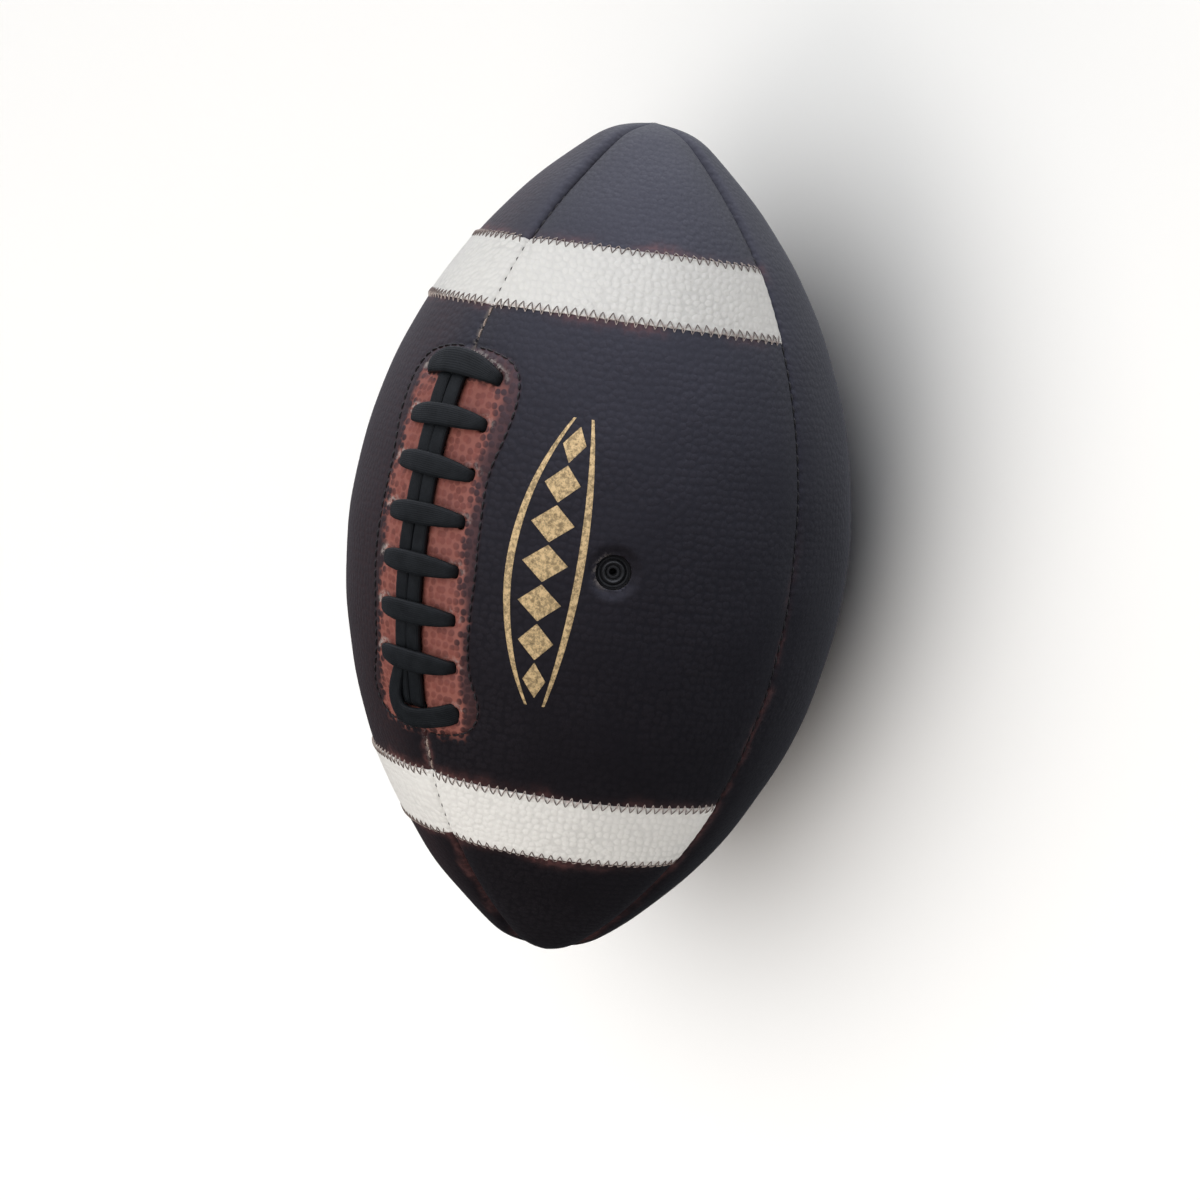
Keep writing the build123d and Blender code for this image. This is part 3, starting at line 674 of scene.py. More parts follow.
def leather_lift(ball, arc, angle):
    """Height of the sewn leather's face over the ball's nominal outline."""
    sizes = ball.sizes
    arc, angle = np.broadcast_arrays(np.asarray(arc, float), np.asarray(angle, float))
    from_seam = from_nearest_seam(ball, arc, angle)
    ends = towards_points(ball, arc)
    lift = -sizes.seam_roll_depth * (1 + POINT_ROLL_SHARE * ends) * bell(from_seam, sizes.seam_roll_width)
    lift = lift - POINT_FOLD_DEPTH * ends * bell(from_seam, POINT_FOLD_WIDTH)
    pull = 0.5 + 0.5 * np.cos(2 * pi * arc / SEAM_STITCH_PITCH)
    lift = lift - sizes.pucker_depth * pull * bell(from_seam, PUCKER_WIDTH)
    lift = lift + sizes.wrinkle_depth * ripples(ball.place(arc, angle, 0.0), WAVE_LENGTH, WAVE_SEED)
    lift = lift * np.minimum(1.0, ball.girth(arc) * QUARTER / NARROW_WIDTH)
    lift = lift + facing_lift(ball, arc, from_lace_seam(ball, arc, angle))
    dish = smooth_step(VALVE_DISH_RADIUS, sizes.valve_hole_diameter / 2, valve_distance(ball, arc, angle))
    return lift - VALVE_DISH_DEPTH * dish


def lip_turns(radius, cover, steps):
    """Angles along a rolled edge under a cover, from deep in the seam to its top."""
    return np.linspace(asin(min(1.0, (SEAM_HALF_GAP + radius) / (radius + cover))), 0.0, steps)


def lip_points(radius, cover, turn):
    """Distance from the seam and lift at angles along a rolled edge under a cover."""
    across = np.maximum(SEAM_HALF_GAP + radius - (radius + cover) * np.sin(turn), 0.0)
    return across, -radius + (radius + cover) * np.cos(turn)


def panel_rings(ball, quarter):
    """Closed sections of one leather panel, from its rear point to its front point."""
    sizes = ball.sizes
    reach = ball.half_arc - POINT_STOP
    rows = int(2 * reach / LEATHER_STEP)
    arc = np.linspace(-reach, reach, rows)[:, None]
    girth = ball.girth(arc)
    width = girth * QUARTER
    shrink = np.minimum(1.0, width / NARROW_WIDTH)

    lip_across, lip_lift = lip_points(sizes.lip_radius, 0.0, lip_turns(sizes.lip_radius, 0.0, LIP_STEPS))
    growth = shrink * lip_radius(ball, arc) / sizes.lip_radius
    flange = -FLANGE_DEPTH * shrink
    edge_across = np.hstack([SEAM_HALF_GAP * shrink, lip_across[None, :] * growth])
    edge_lift = np.hstack([flange, lip_lift[None, :] * growth])
    columns = int(ball.radius * QUARTER / LEATHER_STEP)
    share = np.linspace(0, 1, columns)[None, 1:-1]
    start = edge_across[:, -1:]
    middle_across = start + (width - 2 * start) * share
    outer_across = np.hstack([edge_across, middle_across, width - edge_across[:, ::-1]])
    outer_lift = np.hstack([edge_lift, np.zeros(middle_across.shape), edge_lift[:, ::-1]])
    outer_angle = quarter * QUARTER + outer_across / girth
    outer = ball.place(arc, outer_angle, outer_lift + leather_lift(ball, arc, outer_angle))

    back = (SEAM_HALF_GAP + sizes.panel_thickness) * shrink
    inner_share = np.linspace(0, 1, INNER_STEPS)[None, :]
    inner_middle = back + (width - 2 * back) * inner_share
    inner_across = np.hstack([back, inner_middle, width - back])
    inner_floor = np.full(inner_middle.shape, -sizes.panel_thickness) * shrink
    inner_angle = quarter * QUARTER + inner_across / girth
    inner_lift = np.hstack([flange, inner_floor, flange]) + leather_lift(ball, arc, inner_angle)
    inner = ball.place(arc, inner_angle, inner_lift)
    return np.concatenate([outer, inner[:, ::-1]], axis=1)[None]


def post(ball, arc, angle, half_along, half_across, sides=20, power=0.7):
    """Closed post through the leather, to cut a hole: its section is round at a power of 1, squarer below."""
    turn = turns(sides)
    along = half_along * squarish(np.cos(turn), power)
    across = half_across * squarish(np.sin(turn), power)
    foot = ball.place(arc, angle, 0.0)
    up = ball.normal(arc, angle)
    side = np.array([0.0, -cos(angle), -sin(angle)])
    forward = np.cross(side, up)
    ring = foot + along[:, None] * forward + across[:, None] * side
    return loft(np.stack([ring - up * 2 * FLANGE_DEPTH, ring + up * FLANGE_DEPTH])[None])


def lace_hole_cutters(ball, side):
    """Cutters for the lace's holes: side is 1 on the right, and -1 on the left, which has no rear hole."""
    sizes = ball.sizes
    slack = sizes.lace_thickness * LACE_HOLE_SLACK_SHARE
    half_along = sizes.cross_width * CROSS_WIDTH_SHARES[-1][1] / 2 + slack
    half_across = sizes.lace_thickness / 2 + slack
    cutters = []
    for index in range(1 if side < 0 else 0, sizes.cross_count):
        arc = cross_arc(ball, index)
        angle = side * sizes.cross_reach / float(ball.girth(arc))
        cutters.append(post(ball, arc, angle, half_along, half_across))
    for end in (0, sizes.cross_count - 1):
        arc = cross_arc(ball, end)
        angle = STRAND_SHIFT / float(ball.girth(arc))
        cutters.append(post(ball, arc, angle, half_across + slack, sizes.strand_width + 2 * slack))
    return cutters


def store_grain(ball, piece, quarter):
    """Stores where each point lay on the flat hide: along the ball, and across from the panel's middle."""
    arc, angle = ball.unwrap(read_points(piece))
    turned = (angle - (quarter + 0.5) * QUARTER + pi) % (2 * pi) - pi
    flat = np.stack([arc, turned * ball.girth(arc), np.zeros(len(arc))], -1)
    attribute = piece.data.attributes.new("grain", "FLOAT_VECTOR", "POINT")
    attribute.data.foreach_set("vector", flat.astype(np.float32).ravel())


def beside_lace(arc, across, drift):
    """How fresh the leather is round the lace: 1 at the strands, fading towards the stitch line."""
    fresh = smooth_step(*FRESH_ACROSS, across + drift)
    return fresh * smooth_step(*FRESH_REAR, arc + drift) * smooth_step(*FRESH_FRONT, arc + drift)


def lace_scuff(ball, arc, across):
    """Pale rubbed rims along the front cross and round the lace holes; across is negative on the left."""
    sizes = ball.sizes
    share = np.clip(across / sizes.cross_reach, -1, 1)
    front_edge = cross_arc(ball, sizes.cross_count - 1) + FRONT_CROSS_BOW * (1 - share**2)
    half_width = FRONT_CROSS_SHARE * sizes.cross_width / 2
    front_edge = front_edge + half_width * (1 - FRONT_SCUFF_TAPER_SHARE * share**2)
    rim = bell(arc - front_edge - SCUFF_AND_HIGHLIGHT_WIDTH / 2, SCUFF_AND_HIGHLIGHT_WIDTH) * (np.abs(across) < sizes.cross_reach)
    for index in range(sizes.cross_count):
        for side, strength in ((-1, LEFT_HOLE_SCUFF * (index > 0)), (1, RIGHT_HOLE_SCUFF)):
            hole = np.hypot(arc - cross_arc(ball, index), across - side * sizes.cross_reach)
            ring = bell(hole - SCUFF_RING_RADIUS, SCUFF_AND_HIGHLIGHT_WIDTH)
            rim = np.maximum(rim, strength * ring * (arc > cross_arc(ball, index)))
    return rim


def leather_wear(ball, piece):
    """Stores where the leather is fresh, brown or scuffed, and a highlight painted by the valve hole."""
    sizes = ball.sizes
    points = read_points(piece)
    arc, angle = ball.unwrap(points)
    across = from_lace_seam(ball, arc, angle)
    beside = np.abs(across)
    from_seam = from_nearest_seam(ball, arc, angle)
    drift = sum(height * ripples(points, length, seed) for height, length, seed in DRIFT_WAVES)
    write_attribute(piece, "fresh", beside_lace(arc, beside, drift))

    patchy = smooth_step(*FRINGE_PATCH_LEVELS, ripples(points, FRINGE_PATCH_LENGTH, FRINGE_PATCH_SEED))
    fringe = patchy * bell(np.maximum(outside_stripes(ball, arc) + drift, 0.0), FRINGE_WIDTH)
    fringe = fringe * np.where(np.abs(angle) < QUARTER, 1.0, bell(from_seam, STRIPE_END_WIDTH))
    past_line = beside - facing_edge(facing_line(ball, FACING_POINTS), arc, 0.0)
    inside = smooth_step(FACING_BROWN_EDGE, -FACING_BROWN_EDGE, past_line)
    inside = inside * (np.abs(arc) < sizes.facing_half_length)
    facing_brown = FACING_BROWN * inside * np.where(across < 0, LEFT_FACING_SHARE, 1.0)
    seam_brown = SEAM_BROWN * smooth_step(*SEAM_BROWN_ARCS, arc) * bell(from_seam + drift, SEAM_BROWN_WIDTH)
    left = LEFT_BROWN * smooth_step(*LEFT_BROWN_STARTS, across) * smooth_step(*LEFT_BROWN_ENDS, across)
    brown = np.maximum.reduce([fringe, facing_brown, seam_brown, left])
    write_attribute(piece, "brown", np.clip(brown, 0, 1))

    lace_end = cross_arc(ball, sizes.cross_count - 1)
    on_seam = (np.abs(arc) > lace_end + SCUFF_RING_RADIUS) & (np.abs(arc) < stripe_edges(ball)[0])
    scuff_and_highlight = SEAM_SCUFF * bell(beside, SEAM_SCUFF_WIDTH) * on_seam
    # A painted highlight: a pale rim on the lace's side of the valve hole
    valve_painted_highlight = bell(valve_distance(ball, arc, angle) - sizes.valve_hole_diameter / 2, SCUFF_AND_HIGHLIGHT_WIDTH)
    valve_painted_highlight = VALVE_PAINTED_HIGHLIGHT * valve_painted_highlight * smooth_step(*VALVE_HIGHLIGHT_TURNS, angle - sizes.valve_angle)
    write_attribute(piece, "scuff_and_highlight", np.maximum.reduce([scuff_and_highlight, valve_painted_highlight, lace_scuff(ball, arc, across)]))


def stripe_edges(ball):
    """Arcs of a front stripe's inner and outer edges."""
    outer = ball.half_arc - ball.sizes.stripe_from_point
    return outer - ball.sizes.stripe_width, outer


def stripe_face(ball, quarter, arc, cover, turn, share):
    """Points of a stripe's face over the leather, for columns of lip angles and shares of panel width."""
    radius = ball.sizes.lip_radius
    girth = ball.girth(arc)
    width = girth * QUARTER
    lip_across, lift = lip_points(radius, cover[None, :], turn[:, None])
    start = SEAM_HALF_GAP + radius
    share = share[:, None]
    across = np.where(share > 1 - TINY, width - lip_across, start + (width - 2 * start) * share)
    across = np.where(share < TINY, lip_across, across)
    angle = quarter * QUARTER + across / girth
    return ball.place(arc, angle, lift + leather_lift(ball, arc, angle))


def stripe_rings(ball, quarter, end):
    """Closed sections of one stripe from seam to seam: end is 1 at the front and -1 at the rear."""
    sizes = ball.sizes
    inner, outer = stripe_edges(ball)
    lip = lip_turns(sizes.lip_radius, sizes.stripe_thickness + STRIPE_BOND, LIP_STEPS)
    columns = int(ball.girth((inner + outer) / 2) * QUARTER / STRIPE_STEP)
    middle = np.linspace(0, 1, columns)[1:-1]
    turn = np.concatenate([lip, np.zeros(len(middle)), lip[::-1]])
    share = np.concatenate([np.zeros(len(lip)), middle, np.ones(len(lip))])

    edge_shares = np.array(STRIPE_EDGE_SHARES)
    rounding = edge_shares[-1, 0]
    flat_shares = np.linspace(rounding, 1 - rounding, int(sizes.stripe_width / STRIPE_STEP))
    across = np.concatenate([edge_shares[:-1, 0], flat_shares, 1 - edge_shares[-2::-1, 0]])
    height = np.concatenate([edge_shares[:-1, 1], np.ones(len(flat_shares)), edge_shares[-2::-1, 1]])

    angle = quarter * QUARTER + share * QUARTER
    low, high = (
        edge + STRIPE_JAG * ripples(ball.place(end * edge, angle, 0.0), STRIPE_JAG_LENGTH, seed)
        for edge, seed in zip((inner, outer), STRIPE_JAG_SEEDS)
    )
    arc = end * (low[:, None] + (high - low)[:, None] * across[None, :])
    bond = np.full(height.shape, STRIPE_BOND)
    top = stripe_face(ball, quarter, arc, bond + sizes.stripe_thickness * height, turn, share)
    floor = stripe_face(ball, quarter, arc, bond, turn, share)
    return np.concatenate([top, floor[:, ::-1]], axis=1)[None]


def unit(vectors):
    """The same directions with a length of 1."""
    return vectors / np.maximum(np.linalg.norm(vectors, axis=-1, keepdims=True), TINY)


def stitches(ball, start, end, lift, radius, arch):
    """Closed thread stitches arched over the leather from start to end places, arrays of arc and angle.

    Their lift over it is a number, one for each stitch, or a function of the ball and the arc.
    """
    share = np.linspace(0, 1, STITCH_RINGS)[None, :]
    arc = start[:, :1] + (end - start)[:, :1] * share
    angle = start[:, 1:] + (end - start)[:, 1:] * share
    swell = np.sin(pi * share) ** STITCH_SWELL_POWER
    rest = lift(ball, arc) if callable(lift) else lift
    rest = leather_lift(ball, arc, angle) + rest + arch * (swell - STITCH_SINK_SHARE)
    centre = ball.place(arc, angle, rest)
    tangent = unit(np.gradient(centre, axis=1))
    side = unit(np.cross(tangent, ball.normal(arc, angle)))
    up = np.cross(side, tangent)
    turn = turns(STITCH_SIDES)
    girth = radius * from_share(STITCH_END_SHARE, swell)[..., None, None]
    ring = np.cos(turn)[:, None] * side[..., None, :] + np.sin(turn)[:, None] * up[..., None, :]
    return loft(centre[..., None, :] + girth * ring)


def outside_stripes(ball, arc):
    """Distance along the leather from a stripe's edge, negative on the stripe."""
    inner, outer = stripe_edges(ball)
    return np.maximum(inner - np.abs(arc), np.abs(arc) - outer)


def zigzag_lift(ball, arc):
    """Lift of the zig-zag thread, on a stripe or fallen past its edge to the leather."""
    cover = STRIPE_BOND + ball.sizes.stripe_thickness
    return ZIGZAG_RADIUS / 2 + cover * smooth_step(ZIGZAG_FALL, 0.0, outside_stripes(ball, arc))


def zigzag_places(ball, quarter, end):
    """Start and end places of the zig-zag stitches along both edges of one stripe."""
    dice = np.random.default_rng(ZIGZAG_SEED + quarter + 3 * end)
    starts = []
    ends = []
    for edge, inward in zip(stripe_edges(ball), (1, -1)):
        girth = float(ball.girth(edge))
        margin = ZIGZAG_END_MARGIN / girth
        count = int((QUARTER - 2 * margin) * girth / (ZIGZAG_PITCH / 2))
        depth = ZIGZAG_DEPTH * (np.arange(count + 1) % 2) - ZIGZAG_OVERHANG
        depth = depth + dice.uniform(-1, 1, count + 1) * ZIGZAG_JITTER
        angle = np.linspace(margin, QUARTER - margin, count + 1) + quarter * QUARTER
        angle = angle + dice.uniform(-1, 1, count + 1) * ZIGZAG_JITTER / girth
        places = np.stack([end * (edge + inward * depth), angle], -1)
        starts.append(places[:-1])
        ends.append(places[1:])
    return np.vstack(starts), np.vstack(ends)


def facing_places(ball, side):
    """Start and end places of the stitches round the lace, on one side."""
    fine = facing_line(ball, FACING_FINE_POINTS)
    count = int(line_length(fine) / FACING_STITCH_PITCH)
    edges = evenly_spaced(fine, count + 1)[1:-1]
    gap = FACING_STITCH_GAP / FACING_STITCH_PITCH / 2
    run = edges[1:] - edges[:-1]
    places = []
    for line in (edges[:-1] + run * gap, edges[1:] - run * gap):
        places.append(np.stack([line[:, 0], side * line[:, 1] / ball.girth(line[:, 0])], -1))
    return places


def seam_places(ball, angle):
    """Start and end places of the stitches of one seam, and which of them lie on the stripes."""
    sizes = ball.sizes
    inner, outer = stripe_edges(ball)
    open_half = cross_arc(ball, sizes.cross_count - 1) + LACE_OPENING_MARGIN if angle == 0 else 0.0
    reach = ball.half_arc - SEAM_END_MARGIN
    middles = reach - SEAM_STITCH_PITCH * np.arange(int((reach - open_half) / SEAM_STITCH_PITCH))
    half = SEAM_STITCH_LENGTH / 2
    crossing = (np.abs(middles - inner) < half) | (np.abs(middles - outer) < half)
    striped = (middles > inner) & (middles < outer)
    kept = ~crossing if angle == 0 else ~crossing & ~striped
    middles = np.concatenate([middles[kept], -middles[kept]])
    striped = np.concatenate([striped[kept], striped[kept]])
    half = np.where(striped, STRIPE_STITCH_LENGTH, SEAM_STITCH_LENGTH) / 2
    places = [np.stack([middles + side * half, np.full(len(middles), angle)], -1) for side in (-1, 1)]
    return *places, striped


def seam_thread_lift(radius, cover, thread_radius):
    """Lift of a thread's centre where it lies between two rolled edges under a cover."""
    near = radius + cover + thread_radius
    return -radius + np.sqrt(near**2 - (SEAM_HALF_GAP + radius) ** 2)


def ribbon(ball, route, width, thickness):
    """Closed flat lace on a route of arc, distance from the seam and lift, and its points' places across."""
    arc, across, lift = route.T
    angle = across / ball.girth(arc)
    centre = ball.place(arc, angle, lift)
    tangent = unit(np.gradient(centre, axis=0))
    side = np.zeros(centre.shape)
    middle = len(route) // 2
    side[middle] = unit(np.cross(tangent[middle], ball.normal(arc, angle)[middle]))
    for index in list(range(middle + 1, len(route))) + list(range(middle - 1, -1, -1)):
        before = side[index - 1] if index > middle else side[index + 1]
        side[index] = unit(before - tangent[index] * (before @ tangent[index]))
    up = np.cross(side, tangent)
    turn = turns(LACE_SIDES)
    reach = squarish(np.cos(turn), LACE_SECTION_POWERS[0])
    rise = squarish(np.sin(turn), LACE_SECTION_POWERS[1])
    half_width = np.asarray(width)[:, None, None] / 2 * reach[None, :, None]
    rings = centre[:, None] + half_width * side[:, None] + thickness / 2 * rise[None, :, None] * up[:, None]
    points, faces = loft(rings[None])
    return points, faces, np.tile(reach, len(route))


def cross_ribbon(ball, index):
    """One cross of the lace, down its two holes."""
    sizes = ball.sizes
    dice = np.random.default_rng(CROSS_SEED + index)
    half = [(share * sizes.cross_reach, rise * sizes.lace_thickness) for share, rise in CROSS_RISE_SHARES]
    knots = [(-across, lift) for across, lift in reversed(half[1:])] + half
    line = smooth_line(knots, CROSS_RINGS)
    share = line[:, 0] / sizes.cross_reach
    at_front = index == sizes.cross_count - 1
    bow = FRONT_CROSS_BOW if at_front else CROSS_BOW
    swell = 1 + (FRONT_CROSS_SHARE - 1) * (1 - share**2) if at_front else 1.0
    tilt = dice.uniform(-1, 1) * CROSS_TILT
    arc = cross_arc(ball, index) + bow * (1 - share**2) + tilt * share
    width = swell * sizes.cross_width * np.interp(np.abs(share), *np.array(CROSS_WIDTH_SHARES).T)
    lift = line[:, 1] + dice.uniform(-1, 1) * CROSS_TILT / 3
    return ribbon(ball, np.stack([arc, line[:, 0], lift], -1), width, sizes.lace_thickness)


def rear_loop_ribbon(ball):
    """The lace's rear end, turned round the strands to its last hole."""
    sizes = ball.sizes
    scale = np.array([sizes.cross_reach, sizes.cross_pitch, sizes.lace_thickness])
    line = smooth_line(np.array(REAR_LOOP_SHARES) * scale, CROSS_RINGS)
    route = np.stack([cross_arc(ball, 0) + line[:, 1], line[:, 0], line[:, 2]], -1)
    progress = np.linspace(0, 1, CROSS_RINGS)
    width = sizes.cross_width * np.interp(progress, *np.array(LOOP_WIDTH_SHARES).T)
    return ribbon(ball, route, width, sizes.lace_thickness)


def strand_ribbon(ball, side):
    """One long strand beside the seam, pressed under each cross and down the slots at its ends."""
    sizes = ball.sizes
    half_length = cross_arc(ball, sizes.cross_count - 1)
    drop = sizes.lace_thickness
    flat = np.linspace(-half_length + drop, half_length - drop, STRAND_RINGS)
    swell = 0.5 - 0.5 * np.cos(2 * pi * (flat - half_length) / sizes.cross_pitch)
    lift = STRAND_GAP + drop / 2 + STRAND_SWELL * swell
    sway = STRAND_SWELL * np.sin(flat / sizes.cross_pitch * STRAND_SWAY_RATE + side)
    inset = STRAND_SHIFT + side * (sizes.strand_width / 2 + STRAND_GAP)
    line = [(arc, inset + shift, up) for arc, shift, up in zip(flat, sway, lift)]
    for end in (-1, 1):
        tail = [(end * (half_length - drop * back), inset, drop * up) for back, up in STRAND_TAIL_SHARES]
        line = line + tail if end > 0 else tail[::-1] + line
    route = smooth_line(line, 2 * STRAND_RINGS)
    return ribbon(ball, route, np.full(len(route), sizes.strand_width), sizes.lace_thickness)


def under_passes(ball):
    """The lace's hidden runs behind the leather, from each cross to the next."""
    sizes = ball.sizes
    depth = LACE_DEPTH_SHARE * sizes.lace_thickness
    runs = []
    for index in range(sizes.cross_count - 1):
        arcs = np.array([cross_arc(ball, index), cross_arc(ball, index + 1)])
        places = np.stack([arcs, np.array([1, -1]) * sizes.cross_reach, [depth, depth]], -1)
        route = np.linspace(places[0], places[1], UNDER_PASS_RINGS)
        width = np.full(len(route), sizes.lace_thickness)
        runs.append(ribbon(ball, route, width, sizes.lace_thickness * UNDER_PASS_SHARE))
    return runs


def lathe(ball, profile):
    """Closed form turned about the valve's axis: profile points are radius and lift over the leather."""
    angle = ball.sizes.valve_angle
    axis = np.array([0.0, -sin(angle), cos(angle)])
    side = np.array([0.0, -cos(angle), -sin(angle)])
    foot = np.array([0.0, 0.0, CENTRE_HEIGHT]) + axis * ball.radius
    turn = turns(LATHE_STEPS)
    spoke = np.cos(turn)[:, None] * np.array([1.0, 0.0, 0.0]) + np.sin(turn)[:, None] * side
    radius, lift = np.array(profile).T
    rings = foot + radius[None, :, None] * spoke[:, None] + lift[None, :, None] * axis
    return loft(rings[None], wrapped=True)


def foil_patch(ball, arc, across, half_width):
    """Thin closed foil on the leather: a line of arcs with places from the lace seam and half widths."""
    share = np.linspace(-1, 1, FOIL_STEPS)
    spread = across[:, None] + half_width[:, None] * share
    along = np.broadcast_to(arc[:, None], spread.shape)
    angle = spread / ball.girth(along)
    lift = leather_lift(ball, along, angle)
    top = ball.place(along, angle, lift + FOIL_HEIGHT)
    floor = ball.place(along, angle, lift - FOIL_HEIGHT)
    return loft(np.concatenate([top, floor[:, ::-1]], axis=1)[None])


def foil_ornament(ball):
    """A plain border: two curved rules with a row of graded lozenges between them."""
    patches = []
    arc = np.linspace(-FOIL_HALF_LENGTH, FOIL_HALF_LENGTH, FOIL_RULE_RINGS)
    bow = 1 - (arc / FOIL_HALF_LENGTH) ** 2
    half_width = FOIL_RULE_WIDTH / 2 * from_share(FOIL_RULE_END_SHARE, bow)
    for side in (-1, 1):
        across = FOIL_PLACE + FOIL_SLANT * arc + side * FOIL_HALF_WIDTH * from_share(FOIL_END_SHARE, bow)
        patches.append(foil_patch(ball, arc, across, half_width))
    for index in range(-FOIL_LOZENGES, FOIL_LOZENGES + 1):
        centre = index * FOIL_PITCH
        size = FOIL_HALF_WIDTH * from_share(FOIL_END_SHARE, 1 - (centre / FOIL_HALF_LENGTH) ** 2)
        share = np.linspace(-1, 1, FOIL_LOZENGE_RINGS)
        half_width = size * FOIL_LOZENGE_WIDTH_SHARE * (1 + FOIL_TIP_SHARE - np.abs(share))
        arc = centre + share * FOIL_PITCH * FOIL_LOZENGE_LENGTH_SHARE
        patches.append(foil_patch(ball, arc, FOIL_PLACE + FOIL_SLANT * arc, half_width))
    return join_forms(patches)


class Finish:
    """A material made node by node: a socket given as an input is linked, and any other value is set."""

    def __init__(self, name):
        self.material = bpy.data.materials.new(name)
        self.material.use_nodes = True
        self.tree = self.material.node_tree
        self.surface = self.tree.nodes["Principled BSDF"]
        self.place = self.node("ShaderNodeTexCoord").outputs["Object"]

    def put(self, socket, value):
        """Links or sets one input."""
        if isinstance(value, bpy.types.NodeSocket):
            self.tree.links.new(value, socket)
        else:
            socket.default_value = value

    def node(self, kind, inputs=None, **settings):
        """Adds a node with its settings and inputs."""
        made = self.tree.nodes.new(kind)
        for name, value in settings.items():
            setattr(made, name, value)
        for name, value in (inputs or {}).items():
            self.put(made.inputs[name], value)
        return made

    def noise(self, pitch, detail=3.0, roughness=0.5, place=None, output="Fac"):
        """Cloudy noise whose clouds are about a pitch across."""
        inputs = {"Vector": place or self.place, "Scale": 1 / pitch, "Detail": detail, "Roughness": roughness}
        return self.node("ShaderNodeTexNoise", inputs).outputs[output]

    def clouds(self, pitch):
        """Noise with finer clouds in it."""
        return self.noise(pitch, detail=4.0, roughness=0.6)

    def ramp(self, value, low, high, start=0.0, end=1.0):
        """Soft change from start to end while a value goes from low to high."""
        inputs = {"Value": value, "From Min": low, "From Max": high, "To Min": start, "To Max": end}
        return self.node("ShaderNodeMapRange", inputs, interpolation_type="SMOOTHSTEP").outputs["Result"]

    def spread(self, noise, start=0.0, end=1.0):
        """Soft change from start to end over the middle range of a noise."""
        return self.ramp(noise, *NOISE_RANGE, start, end)

    def math(self, operation, *numbers):
        """Result of an operation on numbers."""
        made = self.node("ShaderNodeMath", operation=operation)
        for socket, number in zip(made.inputs, numbers):
            self.put(socket, number)
        return made.outputs["Value"]

    def plus(self, first, second):
        """Sum of two numbers."""
        return self.math("ADD", first, second)

    def times(self, first, second):
        """Product of two numbers."""
        return self.math("MULTIPLY", first, second)

    def mix(self, share, first, second):
        """Colour between two colours."""
        made = self.node("ShaderNodeMix", data_type="RGBA")
        self.put(made.inputs["Factor"], share)
        for socket, value in ((made.inputs[6], first), (made.inputs[7], second)):
            self.put(socket, value if isinstance(value, bpy.types.NodeSocket) else (*value, 1.0))
        return made.outputs[2]

    def shades(self, share, colour, start, end):
        """One colour, scaled by a factor that goes from start to end with a share."""
        return self.mix(share, scaled(colour, start), scaled(colour, end))

    def stored(self, name, output="Fac"):
        """A number, or a vector, stored on the mesh's points."""
        made = self.node("ShaderNodeAttribute", attribute_name=name, attribute_type="GEOMETRY")
        return made.outputs[output]

    def warped(self, place, pitch, strength):
        """Places pushed about by noise."""
        cloud = self.noise(pitch, detail=2.0, output="Color")
        centred = self.node("ShaderNodeVectorMath", operation="SUBTRACT")
        self.put(centred.inputs[0], cloud)
        centred.inputs[1].default_value = (0.5, 0.5, 0.5)
        pushed = self.node("ShaderNodeVectorMath", operation="MULTIPLY_ADD")
        self.put(pushed.inputs[0], centred.outputs["Vector"])
        pushed.inputs[1].default_value = (strength, strength, strength)
        self.put(pushed.inputs[2], place)
        return pushed.outputs["Vector"]

    def raise_surface(self, height, depth):
        """Bumps of a depth, from heights between 0 and 1."""
        bump = self.node("ShaderNodeBump", {"Height": height, "Distance": depth, "Strength": 1.0})
        self.put(self.surface.inputs["Normal"], bump.outputs["Normal"])

    def done(self, **values):
        """Sets the surface and gives the material."""
        for name, value in values.items():
            socket = self.surface.inputs[name.replace("_", " ").title().replace("Ior", "IOR")]
            colour = isinstance(value, (tuple, list)) and len(value) == 3
            self.put(socket, (*value, 1.0) if colour else value)
        return self.material


def scaled(colour, factor):
    """A lighter or darker colour."""
    return tuple(min(1.0, part * factor) for part in colour)


def pebbles(finish, sizes):
    """Pebble grain: heights from valleys to tops, and a number for each pebble."""
    place = finish.warped(finish.stored("grain", "Vector"), *PEBBLE_PUSH)
    inputs = {"Vector": place, "Scale": 1 / sizes.pebble_pitch, "Randomness": PEBBLE_RANDOMNESS}
    cells = finish.node("ShaderNodeTexVoronoi", inputs, voronoi_dimensions="2D")
    top = finish.ramp(cells.outputs["Distance"], low=0.12, high=0.66, start=1.0, end=0.0)
    number = finish.node("ShaderNodeSeparateColor", {"Color": cells.outputs["Color"]}).outputs["Red"]
    return top, number


